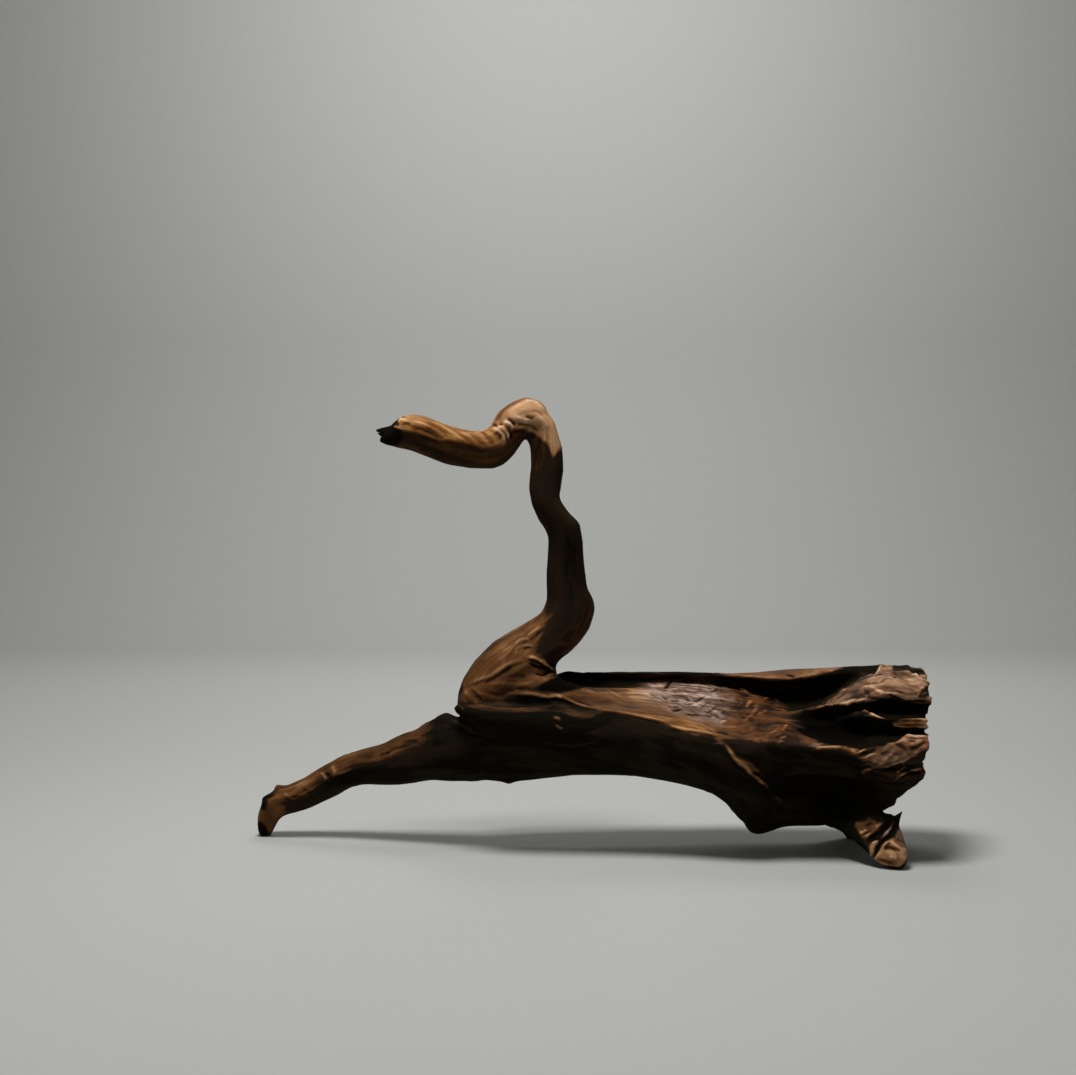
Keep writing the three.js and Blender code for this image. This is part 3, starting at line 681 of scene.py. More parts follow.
def laidOnSkin(line, tree):
    # a line across the picture, one place on the skin for each pixel of its length
    across, down = evenlyAlong(line, 1.0)[1].T
    hits = [tree.ray_cast(Vector(view["place"]), sightLine(u, v))[0] for u, v in zip(across, down)]
    return np.array([tuple(hit) for hit in hits if hit is not None])


def carve(places, directions, tree):
    inPicture = seenAt(places)
    offset = np.zeros(len(places))
    tone = np.zeros(len(places))
    for kind, line, reach, height, paler in (form for group in forms.values() for form in group):
        onSkin = laidOnSkin(line, tree)
        if len(onSkin) < 3:
            continue
        far = carving["reach"] * reach
        near = np.nonzero(((places > onSkin.min(0) - far) & (places < onSkin.max(0) + far)).all(1))[0]
        away = np.linalg.norm(places[near, None] - onSkin[None], axis=2)
        nearest = away.argmin(1)
        off = away.min(1)
        kept = off < far
        near, nearest, off = near[kept], nearest[kept], off[kept] / reach
        trace = seenAt(onSkin)
        course = np.gradient(trace, axis=0)[nearest]
        gone = inPicture[near] - trace[nearest]
        above = np.where(course[:, 0] * gone[:, 1] - course[:, 1] * gone[:, 0] < 0, 1.0, -1.0)
        share = nearest / (len(onSkin) - 1)
        ends = smoothStep(0, carving["endRun"], share) * smoothStep(0, carving["endRun"], 1 - share)
        ends = carving["endHeight"] + (1 - carving["endHeight"]) * ends
        place, rise, shade = profiles[kind]
        offset[near] += height * ends * np.interp(above * off, place, rise)
        tone[near] += paler * ends * np.interp(above * off, place, shade)
    return places + directions * offset[:, None], tone


# The skin round a place is drawn out towards a point: in splinters that stand out of the broken
# tips, and more broadly where the wood swells.
pulls = {
    "arm splinter, upper": {"at": (-121, -17.5, 254), "to": (-135.0, -18, 254.2), "reach": 4.2},
    "arm splinter, lower": {"at": (-121, -18, 250), "to": (-129.5, -18.5, 249.8), "reach": 5.5},
    "arm splinter, top": {"at": (-117, -16, 257), "to": (-125.0, -15, 259.0), "reach": 3.2},
    "arm splinter, short": {"at": (-112, -15, 261), "to": (-115, -15.5, 262.5), "reach": 3.0},
    "elbow, top": {"at": (-40, 3, 273.5), "to": (-40, 3, 275.4), "reach": 11.0},
    "elbow, left": {"at": (-53.5, -1, 265), "to": (-54.0, -1, 266.2), "reach": 10.0},
    "elbow, right": {"at": (-31, 3, 271), "to": (-30.8, 3, 272.4), "reach": 8.0},
    "elbow, inside": {"at": (-40.5, 6, 250.5), "to": (-40.5, 6, 252.6), "reach": 7.0},
    "rim by the branch": {"at": (-14, 32.0, 103.0), "to": (-14, 32.0, 105.0), "reach": 24.0},
    "rim in the fork": {"at": (-17, 32.0, 103.5), "to": (-17, 32.0, 105.2), "reach": 14.0},
    "lobe's end": {"at": (-83, 1, 86.5), "to": (-85.4, 0, 87.5), "reach": 6.0},
    "knob by the lobe": {"at": (-88.5, 25, 81.0), "to": (-88.2, 25, 82.6), "reach": 11.0},
    "end shoulder": {"at": (203.5, -2, 106.5), "to": (199.8, -3, 105.0), "reach": 6.5},
    "end bulge": {"at": (198.4, -23, 90.0), "to": (201.9, -25, 90.0), "reach": 7.0},
    "end bulge, low": {"at": (200.5, -24, 86.5), "to": (202.6, -25, 86.5), "reach": 7.0},
    "end tooth, left": {"at": (197, 18, 110.7), "to": (197, 18, 112.0), "reach": 5.0},
    "end tooth, right": {"at": (206.7, 20, 109.5), "to": (207.0, 20, 111.4), "reach": 4.0},
    "end splinter": {"at": (208, -34, 97), "to": (210.5, -34, 97.5), "reach": 3.5},
    "shelf's tip": {"at": (194.5, -28.4, 79.0), "to": (198.4, -29, 79.0), "reach": 6.5},
    "end's lower notch": {"at": (193.5, -32, 75.0), "to": (197.0, -32, 75.0), "reach": 4.5},
    "end's low corner": {"at": (196, -36, 54), "to": (193.4, -35, 55.2), "reach": 6.0},
    "corner over the foot": {"at": (181.5, -10, 31.4), "to": (183.2, -10, 29.6), "reach": 5.0},
    "foot's top": {"at": (173.5, -36, 25), "to": (174.0, -36, 28.8), "reach": 7.5},
    "foot splinter": {"at": (179.3, -39.4, 29.5), "to": (181.8, -39.4, 31.5), "reach": 3.5},
    "splinter's root": {"at": (179.5, -37.4, 22.0), "to": (176.0, -37.4, 22.0), "reach": 5.0},
    "leg's nub": {"at": (-199.3, 44.6, 32.5), "to": (-200.5, 44.6, 33.2), "reach": 3.6},
    "heel": {"at": (-207, 42, 24), "to": (-208.5, 42, 25.3), "reach": 6.0},
}


def drawnOut(places):
    # the middle of a pull goes all the way to its goal, and what lies round it less and less
    moved = places.copy()
    for pull in pulls.values():
        start, goal = np.array(pull["at"]), np.array(pull["to"])
        off = np.linalg.norm(places - start, axis=1) / pull["reach"]
        moved += np.clip(1 - off, 0, 1)[:, None] ** 1.3 * (goal - start)
    return moved


# Areas read off the view, as outlines in the picture: the tone of the wood inside, from charred dark (0) to
# pale (1), where many areas paint shade or light into it, how surely, how softly the area ends (pixels),
# and how far it is raised (mm).
areas = {
    # painted shade: the upright branch darkened where it faces away from the overhead light
    "upright": ([(548, 600), (540, 500), (525, 462), (540, 450), (552, 460), (566, 452), (580, 450),
        (592, 540), (602, 600), (590, 640), (562, 674), (546, 666), (534, 653), (540, 640), (545, 630)],
        0.16, 0.95, 5.0, 0),
    # painted light on the lit right edge of the upright
    "uprightRight": ([(572, 625), (592, 600), (597, 615), (588, 645), (566, 668), (554, 662)],
        0.4, 0.85, 7.0, 0),
    "arm": ([(390, 410), (420, 405), (440, 415), (470, 428), (490, 422), (495, 408), (505, 395), (520, 390),
        (545, 392), (562, 420), (572, 447), (562, 449), (554, 456), (549, 447), (541, 438), (534, 432),
        (523, 429), (514, 430), (509, 440), (505, 444), (491, 448), (481, 448), (471, 444), (461, 442),
        (448, 439), (440, 441), (430, 438), (416, 432), (403, 430), (396, 424)], 0.74, 0.88, 2.0, 0.3),
    "armGold": ([(398, 416), (412, 412), (430, 415), (446, 424), (456, 432), (446, 438), (430, 434),
        (414, 428), (402, 424)], 0.72, 0.8, 4.0, 0),
    "elbow": ([(506, 412), (514, 402), (530, 397), (548, 402), (560, 425), (566, 444), (556, 447),
        (548, 440), (534, 428), (515, 427), (504, 424)], 0.86, 0.8, 5.0, 0),
    # painted shade on the underside of the arm
    "armDark": ([(401, 431), (416, 433), (430, 439), (440, 442), (448, 440), (461, 443), (471, 445),
        (481, 449), (491, 449), (505, 445), (512, 432), (523, 431), (534, 434), (541, 440), (548, 449),
        (540, 470), (500, 475), (440, 475), (380, 452), (385, 436)], 0.3, 0.92, 1.6, 0),
    "armTip": ([(366, 424), (386, 418), (394, 425), (400, 430), (402, 437), (396, 446), (380, 448),
        (366, 440)], -0.1, 1.0, 1.6, 0),
    "armRing": ([(391, 425), (395, 418), (402, 412), (408, 413), (403, 417), (399, 421), (398, 427)],
        -0.05, 0.95, 1.0, 0),
    "elbowLeft": ([(494, 420), (500, 408), (512, 396), (524, 390), (527, 396), (514, 404), (506, 413),
        (500, 421)], 0.46, 0.85, 3.0, 0),
    "legPale": ([(272, 790), (290, 775), (330, 755), (380, 735), (412, 720), (432, 716), (438, 740),
        (408, 750), (391, 757), (378, 761), (363, 765), (354, 770), (341, 774), (328, 779), (314, 790),
        (308, 797), (289, 800), (272, 804), (264, 800)], 0.37, 0.85, 5.0, 0),
    "legLow": ([(272, 790), (290, 777), (312, 766), (320, 776), (308, 795), (289, 800), (272, 804),
        (264, 800)], 0.54, 0.85, 5.0, 0),
    # painted shade on the lower side of the leg
    "legDark": ([(275, 808), (290, 802), (309, 799), (316, 791), (329, 781), (342, 775), (355, 771),
        (364, 766), (379, 762), (392, 758), (409, 751), (424, 746), (440, 745), (470, 745), (470, 790),
        (380, 795), (300, 820), (285, 822)], 0.08, 0.95, 3.0, 0),
    # painted shade where the leg lies under the branch and the lobe
    "legFade": ([(432, 700), (446, 700), (472, 716), (472, 775), (430, 775), (428, 740)],
        0.06, 1.0, 9.0, 0),
    "legUnder": ([(276, 806), (292, 801), (312, 797), (345, 788), (345, 796), (318, 808), (286, 820),
        (276, 816)], 0.22, 0.9, 6.0, 0),
    "legKnob": ([(430, 722), (438, 708), (452, 710), (458, 716), (446, 722), (436, 734)], 0.0, 0.9, 7.0, 0),
    "toe": ([(258, 806), (268, 800), (286, 806), (282, 814), (277, 828), (272, 838), (256, 838),
        (252, 822)], 0.56, 0.85, 3.0, 0),
    "heel": ([(255, 808), (257, 790), (268, 784), (276, 789), (272, 795), (267, 800), (264, 808)],
        0.0, 0.95, 1.5, 0),
    "toeSole": ([(255, 824), (260, 822), (264, 826), (268, 833), (267, 837), (261, 836), (256, 831)],
        -0.1, 1.0, 1.0, 0),
    "branchFoot": ([(456, 702), (464, 680), (484, 655), (512, 630), (538, 614), (543, 620), (541, 628),
        (538, 640), (533, 650), (540, 656), (548, 664), (560, 676), (548, 681), (534, 688), (522, 699),
        (510, 704), (490, 706), (470, 704)], 0.55, 0.9, 4.0, 0),
    "lobeTop": ([(506, 698), (518, 695), (532, 696), (548, 699), (558, 698), (565, 701), (574, 706),
        (590, 709), (598, 711), (592, 712), (580, 711), (570, 706), (562, 702), (552, 702), (540, 703),
        (524, 704), (508, 703)], 0.13, 0.95, 2.5, 0),
    "footBrown": ([(496, 688), (506, 672), (530, 666), (540, 676), (535, 690), (512, 697), (494, 697)],
        0.37, 0.8, 5.0, 0),
    # painted shadow on the inner back wall of the hollow and by the rim
    "hollowBand": ([(557, 676), (575, 655), (712, 655), (714, 673), (740, 678), (770, 681), (798, 681),
        (806, 678), (814, 677), (824, 673), (834, 671), (842, 668), (848, 660), (880, 655), (880, 668),
        (876, 674), (862, 675), (850, 681), (842, 687), (828, 698), (818, 706), (800, 708), (788, 708),
        (772, 696), (760, 695), (748, 689), (738, 686), (716, 683), (705, 679), (690, 678), (672, 679),
        (650, 680), (635, 682), (625, 685), (610, 686), (590, 687), (575, 689), (562, 692), (548, 691),
        (534, 688), (547, 681)], -0.05, 1.0, 1.5, 0),
    "hollowWall": ([(600, 674), (700, 674), (714, 678), (770, 686), (806, 684), (820, 688), (816, 698),
        (806, 704), (788, 704), (760, 692), (716, 681), (672, 677), (620, 681), (600, 682)],
        0.3, 1.0, 3.0, 0),
    "topStrip": ([(712, 668), (735, 671), (757, 672), (775, 669), (786, 666), (803, 666), (808, 672),
        (800, 680), (770, 680), (745, 678), (725, 675)], 0.5, 0.85, 2.0, 0),
    "topRight": ([(800, 676), (806, 668), (820, 665), (836, 663), (848, 661), (841, 667), (832, 670),
        (822, 672), (812, 675)], 0.62, 0.9, 1.5, 0),
    "floor": ([(560, 694), (575, 690), (590, 688), (610, 688), (630, 686), (640, 683), (666, 683),
        (672, 680), (700, 680), (712, 682), (722, 687), (740, 688), (752, 691), (768, 696), (777, 701),
        (787, 709), (793, 718), (799, 730), (810, 742), (790, 744), (780, 741), (772, 734), (760, 737),
        (735, 735), (724, 736), (712, 734), (690, 731), (678, 729), (668, 723), (655, 721), (640, 717),
        (600, 710), (572, 703)], 0.54, 0.9, 2.0, 0),
    "floorTan": ([(630, 689), (640, 684), (650, 683), (654, 695), (648, 699), (636, 698)],
        0.72, 0.8, 4.0, 0),
    "rimUpper": ([(512, 688), (530, 691), (545, 694), (556, 693), (566, 696), (580, 703), (592, 706),
        (592, 711), (578, 707), (566, 701), (556, 697), (544, 698), (528, 696), (512, 692)],
        0.42, 0.9, 1.0, 0),
    "rosyTop": ([(662, 692), (668, 685), (684, 683), (704, 684), (716, 688), (716, 694), (704, 697),
        (690, 699), (676, 696)], 0.55, 0.8, 4.0, 0),
    "rosyLeft": ([(647, 684), (666, 684), (663, 690), (655, 696), (648, 692)], 0.64, 0.8, 3.0, 0),
    "floorBrown": ([(728, 684), (750, 690), (772, 697), (790, 708), (806, 728), (816, 742), (785, 743),
        (750, 739), (728, 738), (720, 715)], 0.42, 0.8, 10.0, 0),
    "rimLit": ([(600, 708), (620, 710), (645, 711), (662, 714), (682, 718), (702, 723), (716, 728),
        (724, 737), (700, 732), (680, 730), (668, 723), (655, 721), (640, 717), (620, 713)],
        0.68, 0.85, 1.5, 0),
    # painted shade deep in the hollow by the broken end
    "floorDark": ([(794, 703), (812, 709), (846, 707), (872, 711), (890, 720), (900, 733), (880, 742),
        (862, 748), (845, 743), (822, 744), (812, 735), (800, 720)], -0.06, 1.0, 7.0, 0),
    # painted shade on the trunk's side below the rim
    "trunkSide": ([(448, 706), (456, 707), (480, 710), (506, 712), (530, 712), (552, 709), (562, 711),
        (572, 717), (590, 719), (596, 713), (611, 713), (640, 718), (660, 723), (672, 730), (690, 734),
        (712, 737), (718, 742), (728, 750), (737, 760), (750, 774), (762, 786), (772, 798), (800, 813),
        (840, 822), (860, 850), (840, 860), (740, 845), (690, 800), (560, 790), (440, 790), (430, 730)],
        0.06, 0.97, 1.8, 0),
    # painted shade on the body of the lobe, under its lit edge
    "lobeBody": ([(452, 703), (462, 705), (480, 710), (500, 712), (520, 712), (545, 711), (560, 712),
        (572, 716), (584, 719), (594, 717), (602, 712), (612, 713), (612, 722), (590, 730), (560, 742),
        (530, 737), (490, 734), (468, 727), (452, 716)], -0.12, 0.95, 1.2, 0),
    "lobeEdge": ([(462, 701), (470, 703), (480, 704), (490, 706), (510, 706), (530, 705), (540, 704),
        (550, 703), (556, 702), (562, 703), (568, 706), (575, 710), (582, 713), (590, 712), (593, 713),
        (590, 717), (584, 718), (578, 717), (570, 714), (560, 711), (550, 710), (540, 710), (530, 711),
        (515, 711), (500, 711), (490, 710), (480, 709), (470, 707), (462, 704)], 0.31, 0.95, 0.8, 0),
    # painted shade in the recess under the front rim
    "recess": ([(722, 741), (740, 739), (785, 744), (814, 745), (843, 744), (858, 755), (862, 764),
        (858, 774), (880, 775), (898, 782), (900, 812), (880, 826), (800, 812), (775, 795), (760, 776),
        (740, 757)], 0.08, 1.0, 2.0, 0),
    "shellBrown": ([(731, 748), (737, 754), (745, 759), (753, 763), (759, 769), (756, 771), (750, 770),
        (745, 767), (738, 763), (732, 756)], 0.44, 0.95, 1.5, 0.9),
    "endBrown": ([(812, 710), (820, 705), (830, 697), (842, 689), (852, 681), (862, 675), (876, 675),
        (890, 675), (892, 696), (880, 697), (866, 702), (848, 704), (832, 708), (818, 709)],
        0.5, 0.9, 2.2, 0.9),
    "endLeftShade": ([(812, 713), (820, 700), (836, 688), (850, 680), (862, 674), (868, 677), (862, 682),
        (852, 686), (842, 693), (832, 700), (822, 709)], 0.26, 0.85, 3.0, 0),
    "endPale": ([(874, 677), (882, 664), (890, 668), (905, 670), (926, 674), (936, 686), (936, 702),
        (921, 702), (904, 699), (892, 696), (880, 698), (868, 698), (860, 690)], 0.7, 0.9, 2.2, 0.9),
    "endFold": ([(866, 692), (876, 694), (888, 696), (884, 698), (872, 702), (862, 702), (868, 697)],
        0.28, 0.8, 1.5, 0),
    "endTop": ([(893, 671), (910, 672), (924, 674), (926, 680), (912, 680), (900, 681), (893, 677)],
        0.58, 0.8, 1.5, 0),
    # painted highlight on the top right of the broken end
    "endRightTop": ([(914, 673), (926, 673), (928, 680), (915, 679)], 1.0, 0.8, 1.5, 0),
    "endNotch": ([(891, 660), (908, 660), (911, 668), (924, 668), (926, 674), (912, 674), (909, 671),
        (893, 671)], 0.05, 0.9, 1.0, 0),
    "endPocket": ([(919, 696), (926, 687), (932, 684), (934, 696), (925, 698)], 0.05, 0.8, 1.0, -0.8),
    # painted shadow in the gap under the broken end's upper ledge
    "endGap": ([(846, 707), (868, 703), (882, 698), (893, 699), (905, 703), (922, 704), (936, 703),
        (936, 719), (911, 718), (892, 720), (880, 716), (866, 710)], -0.1, 1.0, 1.2, -1.2),
    "endShelf": ([(891, 722), (900, 719), (912, 718), (932, 719), (934, 728), (912, 728), (900, 728),
        (895, 725)], 0.72, 0.95, 0.8, 0.6),
    # painted shadow in the gap under the shelf
    "endGapLow": ([(855, 722), (885, 724), (900, 729), (936, 729), (936, 735), (908, 735), (900, 739),
        (884, 744), (862, 748), (845, 744), (815, 742), (800, 730)], -0.1, 1.0, 1.2, -1.0),
    "endLower": ([(858, 758), (866, 755), (872, 752), (880, 750), (888, 746), (893, 742), (900, 739),
        (907, 735), (936, 734), (936, 745), (928, 749), (918, 753), (910, 758), (903, 762), (890, 764),
        (880, 769), (872, 769), (861, 773), (870, 765), (864, 760)], 0.57, 0.9, 1.5, 0.7),
    "endOlive": ([(896, 780), (905, 774), (916, 770), (936, 768), (936, 786), (905, 808)],
        0.18, 0.8, 2.0, 0),
    # painted shade on the downward-facing side beside the front foot
    "footDark": ([(815, 800), (850, 800), (858, 818), (855, 826), (862, 838), (872, 856), (850, 862),
        (820, 850)], -0.1, 1.0, 2.0, 0),
    "footPale": ([(854, 824), (858, 822), (866, 820), (869, 817), (877, 821), (883, 823), (880, 828),
        (875, 832), (869, 837), (863, 837), (858, 830)], 0.46, 0.9, 1.4, 0.4),
    "footFront": ([(869, 846), (873, 841), (880, 840), (885, 838), (890, 834), (896, 830), (903, 833),
        (908, 842), (909, 856), (906, 862), (896, 866), (880, 865), (872, 861), (870, 852)],
        0.84, 0.9, 1.5, 0.4),
    "footCrown": ([(893, 832), (900, 831), (906, 836), (908, 848), (903, 849), (897, 845), (893, 838)],
        0.42, 0.85, 2.5, 0),
    "footCracks": ([(867, 841), (871, 836), (878, 829), (884, 823), (884, 815), (893, 816), (898, 822),
        (897, 831), (894, 836), (889, 839), (884, 842), (880, 849), (876, 855), (873, 857), (875, 849),
        (879, 843), (881, 840), (873, 840)], -0.1, 1.0, 1.0, 0),
    "footSliver": ([(877, 842), (882, 836), (887, 828), (889, 822), (894, 822), (893, 829), (889, 836),
        (884, 840), (880, 843)], 0.55, 0.95, 0.8, 0.2),
    "splinter": ([(884, 821), (884, 808), (898, 804), (904, 800), (908, 804), (903, 822), (898, 829),
        (894, 828), (893, 821)], -0.05, 1.0, 1.0, 0),
}


# Where the wood is broken across the grain or its fibres have lifted, it is rougher.
fibrous = {
    "broken": [(810, 712), (850, 685), (880, 662), (940, 655), (940, 800), (890, 790), (860, 768),
        (815, 752)],
    "lifted": [(635, 684), (712, 680), (750, 690), (790, 708), (812, 742), (750, 738), (700, 722),
        (650, 704)],
    "frayed": [(600, 684), (640, 672), (712, 672), (770, 684), (850, 700), (850, 748), (790, 752),
        (735, 745), (690, 722), (640, 706)],
    "even": [(450, 692), (600, 692), (606, 722), (450, 722)],
    "mottled": [(712, 686), (750, 686), (775, 694), (800, 708), (818, 742), (785, 746), (740, 742),
        (714, 722)],
    "bleachAndSheen": [(640, 687), (650, 682), (712, 681), (726, 690), (730, 706), (718, 722), (700, 717), (678, 709),
        (654, 698)],
}

# Where the colour of the wood differs: the outline, how soft its edge is (pixels), and how much.
tints = {
    "bleachAndSheen": [  # bleached to a grey pink, with a painted sheen of gloss
        (fibrous["bleachAndSheen"], 10.0, 1.0),
        ([(815, 712), (850, 685), (862, 676), (880, 662), (936, 662), (936, 702), (905, 701), (868, 704),
            (820, 710)], 4.0, 0.2),
        ([(808, 744), (846, 743), (846, 751), (808, 753)], 3.0, 0.35),
        ([(858, 756), (884, 748), (900, 735), (930, 735), (928, 758), (900, 766), (876, 770), (862, 764)],
            3.0, 0.25),
        ([(880, 842), (882, 836), (887, 828), (889, 820), (895, 820), (893, 830), (889, 837), (884, 841)],
            1.0, 0.6),
        ([(893, 831), (900, 830), (908, 838), (909, 850), (903, 849), (897, 845), (893, 838)], 2.0, 0.4),
    ],
    "ruddy": [
        ([(722, 690), (735, 694), (760, 700), (790, 712), (806, 732), (790, 742), (760, 738), (735, 730),
            (722, 712)], 10.0, 0.5),
        ([(463, 690), (475, 682), (500, 684), (506, 700), (480, 702), (466, 700)], 6.0, 0.3),
        ([(893, 740), (903, 738), (912, 743), (927, 740), (927, 750), (910, 752), (898, 748)], 2.0, 0.8),
    ],
    "golden": [
        ([(394, 412), (420, 402), (440, 412), (470, 426), (492, 420), (498, 446), (470, 448), (440, 443),
            (403, 431)], 4.0, 0.8),
        ([(600, 708), (645, 710), (682, 717), (716, 727), (724, 738), (680, 731), (640, 718), (605, 711)],
            2.0, 0.7),
        ([(876, 856), (884, 849), (898, 851), (907, 853), (907, 861), (890, 862)], 2.0, 0.25),
    ],
    # painted shadow: the deep hollow at the broken end and the shaded corner by the rim
    "shadowTint": [
        ([(800, 710), (812, 713), (832, 715), (850, 716), (868, 722), (866, 740), (846, 743), (820, 742),
            (808, 734)], 4.0, 1.0),
        ([(536, 689), (548, 681), (560, 675), (588, 676), (604, 684), (584, 687), (560, 691), (548, 690)],
            1.5, 1.0),
    ],
}

marks = {
    "seenRounds": 6,  # of smoothing, so that what is seen ends softly
    "seenGain": 2.6,
    "edge": 8.0,  # pixels, the soft edge of the rough places
    "evenEdge": 4.0,
    "plainBelow": 0.1,  # wood painted darker than this tone, charred or in painted shade, has no chips, tufts or tint
    "brokenFrom": (170, 200),  # mm along X
    "brokenOver": (30, 50),  # mm over the ground
    "footBroken": 0.4,
    "footBrokenFrom": (160, 168),
    "liftedBroken": 0.4,
    "footCalm": 0.85,
    "footCalmFrom": (156, 166),
    "limbCalm": 0.7,
    "gulliedFrom": (-120, -90),  # mm along X; the leg has shallower gullies
    "gulliedLeast": 0.35,
    "crackDark": 1.6,  # cracks keep their own dark where the wood is bleached pink
}

tree = wood.tree()
seen = clearlySeen(tree, wood.points, wood.normals()).astype(float)
seen = np.clip(marks["seenGain"] * wood.smoothed(seen, marks["seenRounds"]), 0, 1)
inPicture = seenAt(wood.points)
rawEnd = insideOutline(inPicture, fibrous["broken"], marks["edge"])
# the floor of the hollow is seen very slantwise, so there a patch also ends raggedly along the grain
inPicture[:, 0] += fraying["drift"] * fray * insideOutline(inPicture, fibrous["frayed"], marks["edge"])
ragged = fraying["ragged"] * fray * (1 - insideOutline(inPicture, fibrous["even"], marks["evenEdge"]))
areaTone, areaWeight, raised, plain = np.zeros((4, len(points)))
for outline, tone, sureness, softness, height in areas.values():
    share = insideOutline(inPicture, outline, softness, ragged) * seen * sureness
    areaTone = areaTone * (1 - share) + tone * share
    areaWeight = areaWeight * (1 - share) + share
    raised = raised * (1 - share) + height * share
    plain = np.maximum(plain * (1 - share), share * (tone < marks["plainBelow"]))
areaTone /= np.maximum(areaWeight, 1e-6)
tinted = {}
for name, patches in tints.items():
    tinted[name] = np.zeros(len(points))
    for outline, softness, amount in patches:
        tinted[name] = np.maximum(tinted[name], amount * insideOutline(inPicture, outline, softness) * seen)
tinted["bleachAndSheen"] *= 1 - plain
atEnd = smoothStep(*marks["brokenFrom"], points[:, 0]) * smoothStep(*marks["brokenOver"], points[:, 2])
atFoot = marks["footBroken"] * footShare * smoothStep(*marks["footBrokenFrom"], points[:, 0])
broken = np.maximum(np.maximum(rawEnd * seen, atEnd), atFoot)
lifted = insideOutline(inPicture, fibrous["lifted"], marks["edge"]) * seen
broken = np.maximum(broken * (1 - plain), marks["liftedBroken"] * lifted)
tufted = insideOutline(inPicture, fibrous["mottled"], marks["edge"]) * seen * (1 - plain)
calm = 1 - marks["footCalm"] * footShare * smoothStep(*marks["footCalmFrom"], points[:, 0])
gullied = smoothStep(*marks["gulliedFrom"], points[:, 0])
gullied = marks["gulliedLeast"] + (1 - marks["gulliedLeast"]) * gullied
gullied *= (1 - areaWeight) * (1 - broken) * (1 - marks["limbCalm"] * limbShare)
print("areas: done")

carved, paler = carve(wood.points + wood.normals() * raised[:, None], wood.normals(), tree)
tinted["bleachAndSheen"] *= np.clip(1 + marks["crackDark"] * paler, 0, 1)
wood.write(wood.smoothed(drawnOut(carved), 1))
print("forms: done")


# Worn places are paler: the tops, the fork and the rims. Hollows, sides and undersides stay dark. This tone
# also holds painted light: tops painted as lit, sides and undersides in painted shade, and the painted
# shade and highlights of the areas and forms.
wearAndShading = {
    "fineRounds": 12,  # of smoothing; what stands out from that is an edge
    "edge": (0.02, 0.35),  # mm that a worn edge stands out; it is painted paler, partly as wear and partly as a painted highlight
    "crease": (0.35, 0.6),  # mm of a full crease, and its share of the painted shade
    "hollow": (2.0, 0.4),
    "facing": (-0.25, 0.75),  # how much the skin faces up, from none to all
    "sides": 0.16,  # tone of a side or an underside, darkened partly as painted shade
    "tops": 0.4,  # added on what faces up, partly wear and partly painted top light
    "brokenTops": 0.15,
    "edges": 0.08,
    "brokenEdges": 0.16,
    "lines": 0.6,  # share of a form's own paleness, with its painted highlights and shade
    "lineClean": 1.5,  # pale lines hold no painted crease shade
    "range": (-0.2, 1.35),  # of tones, from charred to bleached
}

points = wood.points
normals = wood.normals()
fineForm = ((points - wood.smoothed(points, wearAndShading["fineRounds"])) * normals).sum(1)
broadForm = ((points - broadPlace) * broadNormal).sum(1)
# painted shade in creases and hollows, darker the deeper they lie
creaseShade = smoothStep(0.0, wearAndShading["crease"][0], -fineForm) * wearAndShading["crease"][1]
creaseShade += smoothStep(0.0, wearAndShading["hollow"][0], -broadForm) * wearAndShading["hollow"][1]
creaseShade *= 1 - np.clip(wearAndShading["lineClean"] * paler, 0, 1)
edgeWearAndHighlight = smoothStep(*wearAndShading["edge"], fineForm)
facingUp = smoothStep(*wearAndShading["facing"], broadNormal[:, 2])
toneWithPaintedLight = wearAndShading["sides"] + wearAndShading["tops"] * facingUp + wearAndShading["brokenTops"] * broken * facingUp
toneWithPaintedLight = toneWithPaintedLight * (1 - areaWeight) + areaTone * areaWeight
toneWithPaintedLight += (wearAndShading["edges"] + wearAndShading["brokenEdges"] * broken) * edgeWearAndHighlight * (1 - plain) + wearAndShading["lines"] * paler
toneWithPaintedLight = np.clip(wood.smoothed(toneWithPaintedLight, 1), *wearAndShading["range"])
given = {
    "toneWithPaintedLight": toneWithPaintedLight, "creaseShade": creaseShade, "broken": broken, "calm": calm, "gullied": gullied,
    "tufted": tufted, "limbShare": limbShare, "grainStem": grainStem, "grainLimb": grainLimb,
}
for name, values in (given | tinted).items():
    giveAttribute(wood.mesh, name, values)
print("wear: done")


# The relief along the grain, for the skin and for the colour that lies in it.
relief = {
    "Flute Width": 7.0,  # mm across the grain
    "Flute Length": 80.0,
    "Flute Height": 0.6,
    "Flute Detail": 1.0,
    "Fibre Width": 2.2,
    "Fibre Length": 30.0,
    "Fibre Height": 0.22,
    "Fibre Detail": 2.0,
    "Chip Width": 6.0,
    "Chip Length": 17.0,
    "Chip Height": 2.4,
    "Chip Detail": 2.0,
    "Tuft Width": 4.5,
    "Tuft Length": 9.0,
    "Tuft Height": 1.3,
    "Tuft Detail": 1.5,
    "Gully Width": 9.0,
    "Gully Length": 75.0,
    "Gully Height": 2.4,
    "Gully Detail": 1.5,
    "Seed": 5.0,
}


def grainNoise(tree, width, length, detail, seed):
    # noise drawn out along the grain; the seed slides it, so that no two patterns fall together
    layers = []
    for name in ("grainStem", "grainLimb"):
        place = addNode(tree, "ShaderNodeAttribute", {"attribute_name": name})
        scaled = addNode(tree, "ShaderNodeVectorMath", {"operation": "MULTIPLY_ADD"}, {
            0: place.outputs["Vector"], 1: (1 / width, 1 / width, 1 / length), 2: (seed, seed, seed)})
        layers.append(addNode(tree, "ShaderNodeTexNoise", {"noise_dimensions": "3D"}, {
            "Vector": scaled.outputs[0], "Scale": 1.0, "Detail": detail, "Roughness": 0.5}))
    share = addNode(tree, "ShaderNodeAttribute", {"attribute_name": "limbShare"})
    both = addNode(tree, "ShaderNodeMix", {"data_type": "FLOAT"}, {
        "Factor": share.outputs["Fac"], "A": layers[0].outputs["Fac"], "B": layers[1].outputs["Fac"]})
    return both.outputs["Result"]


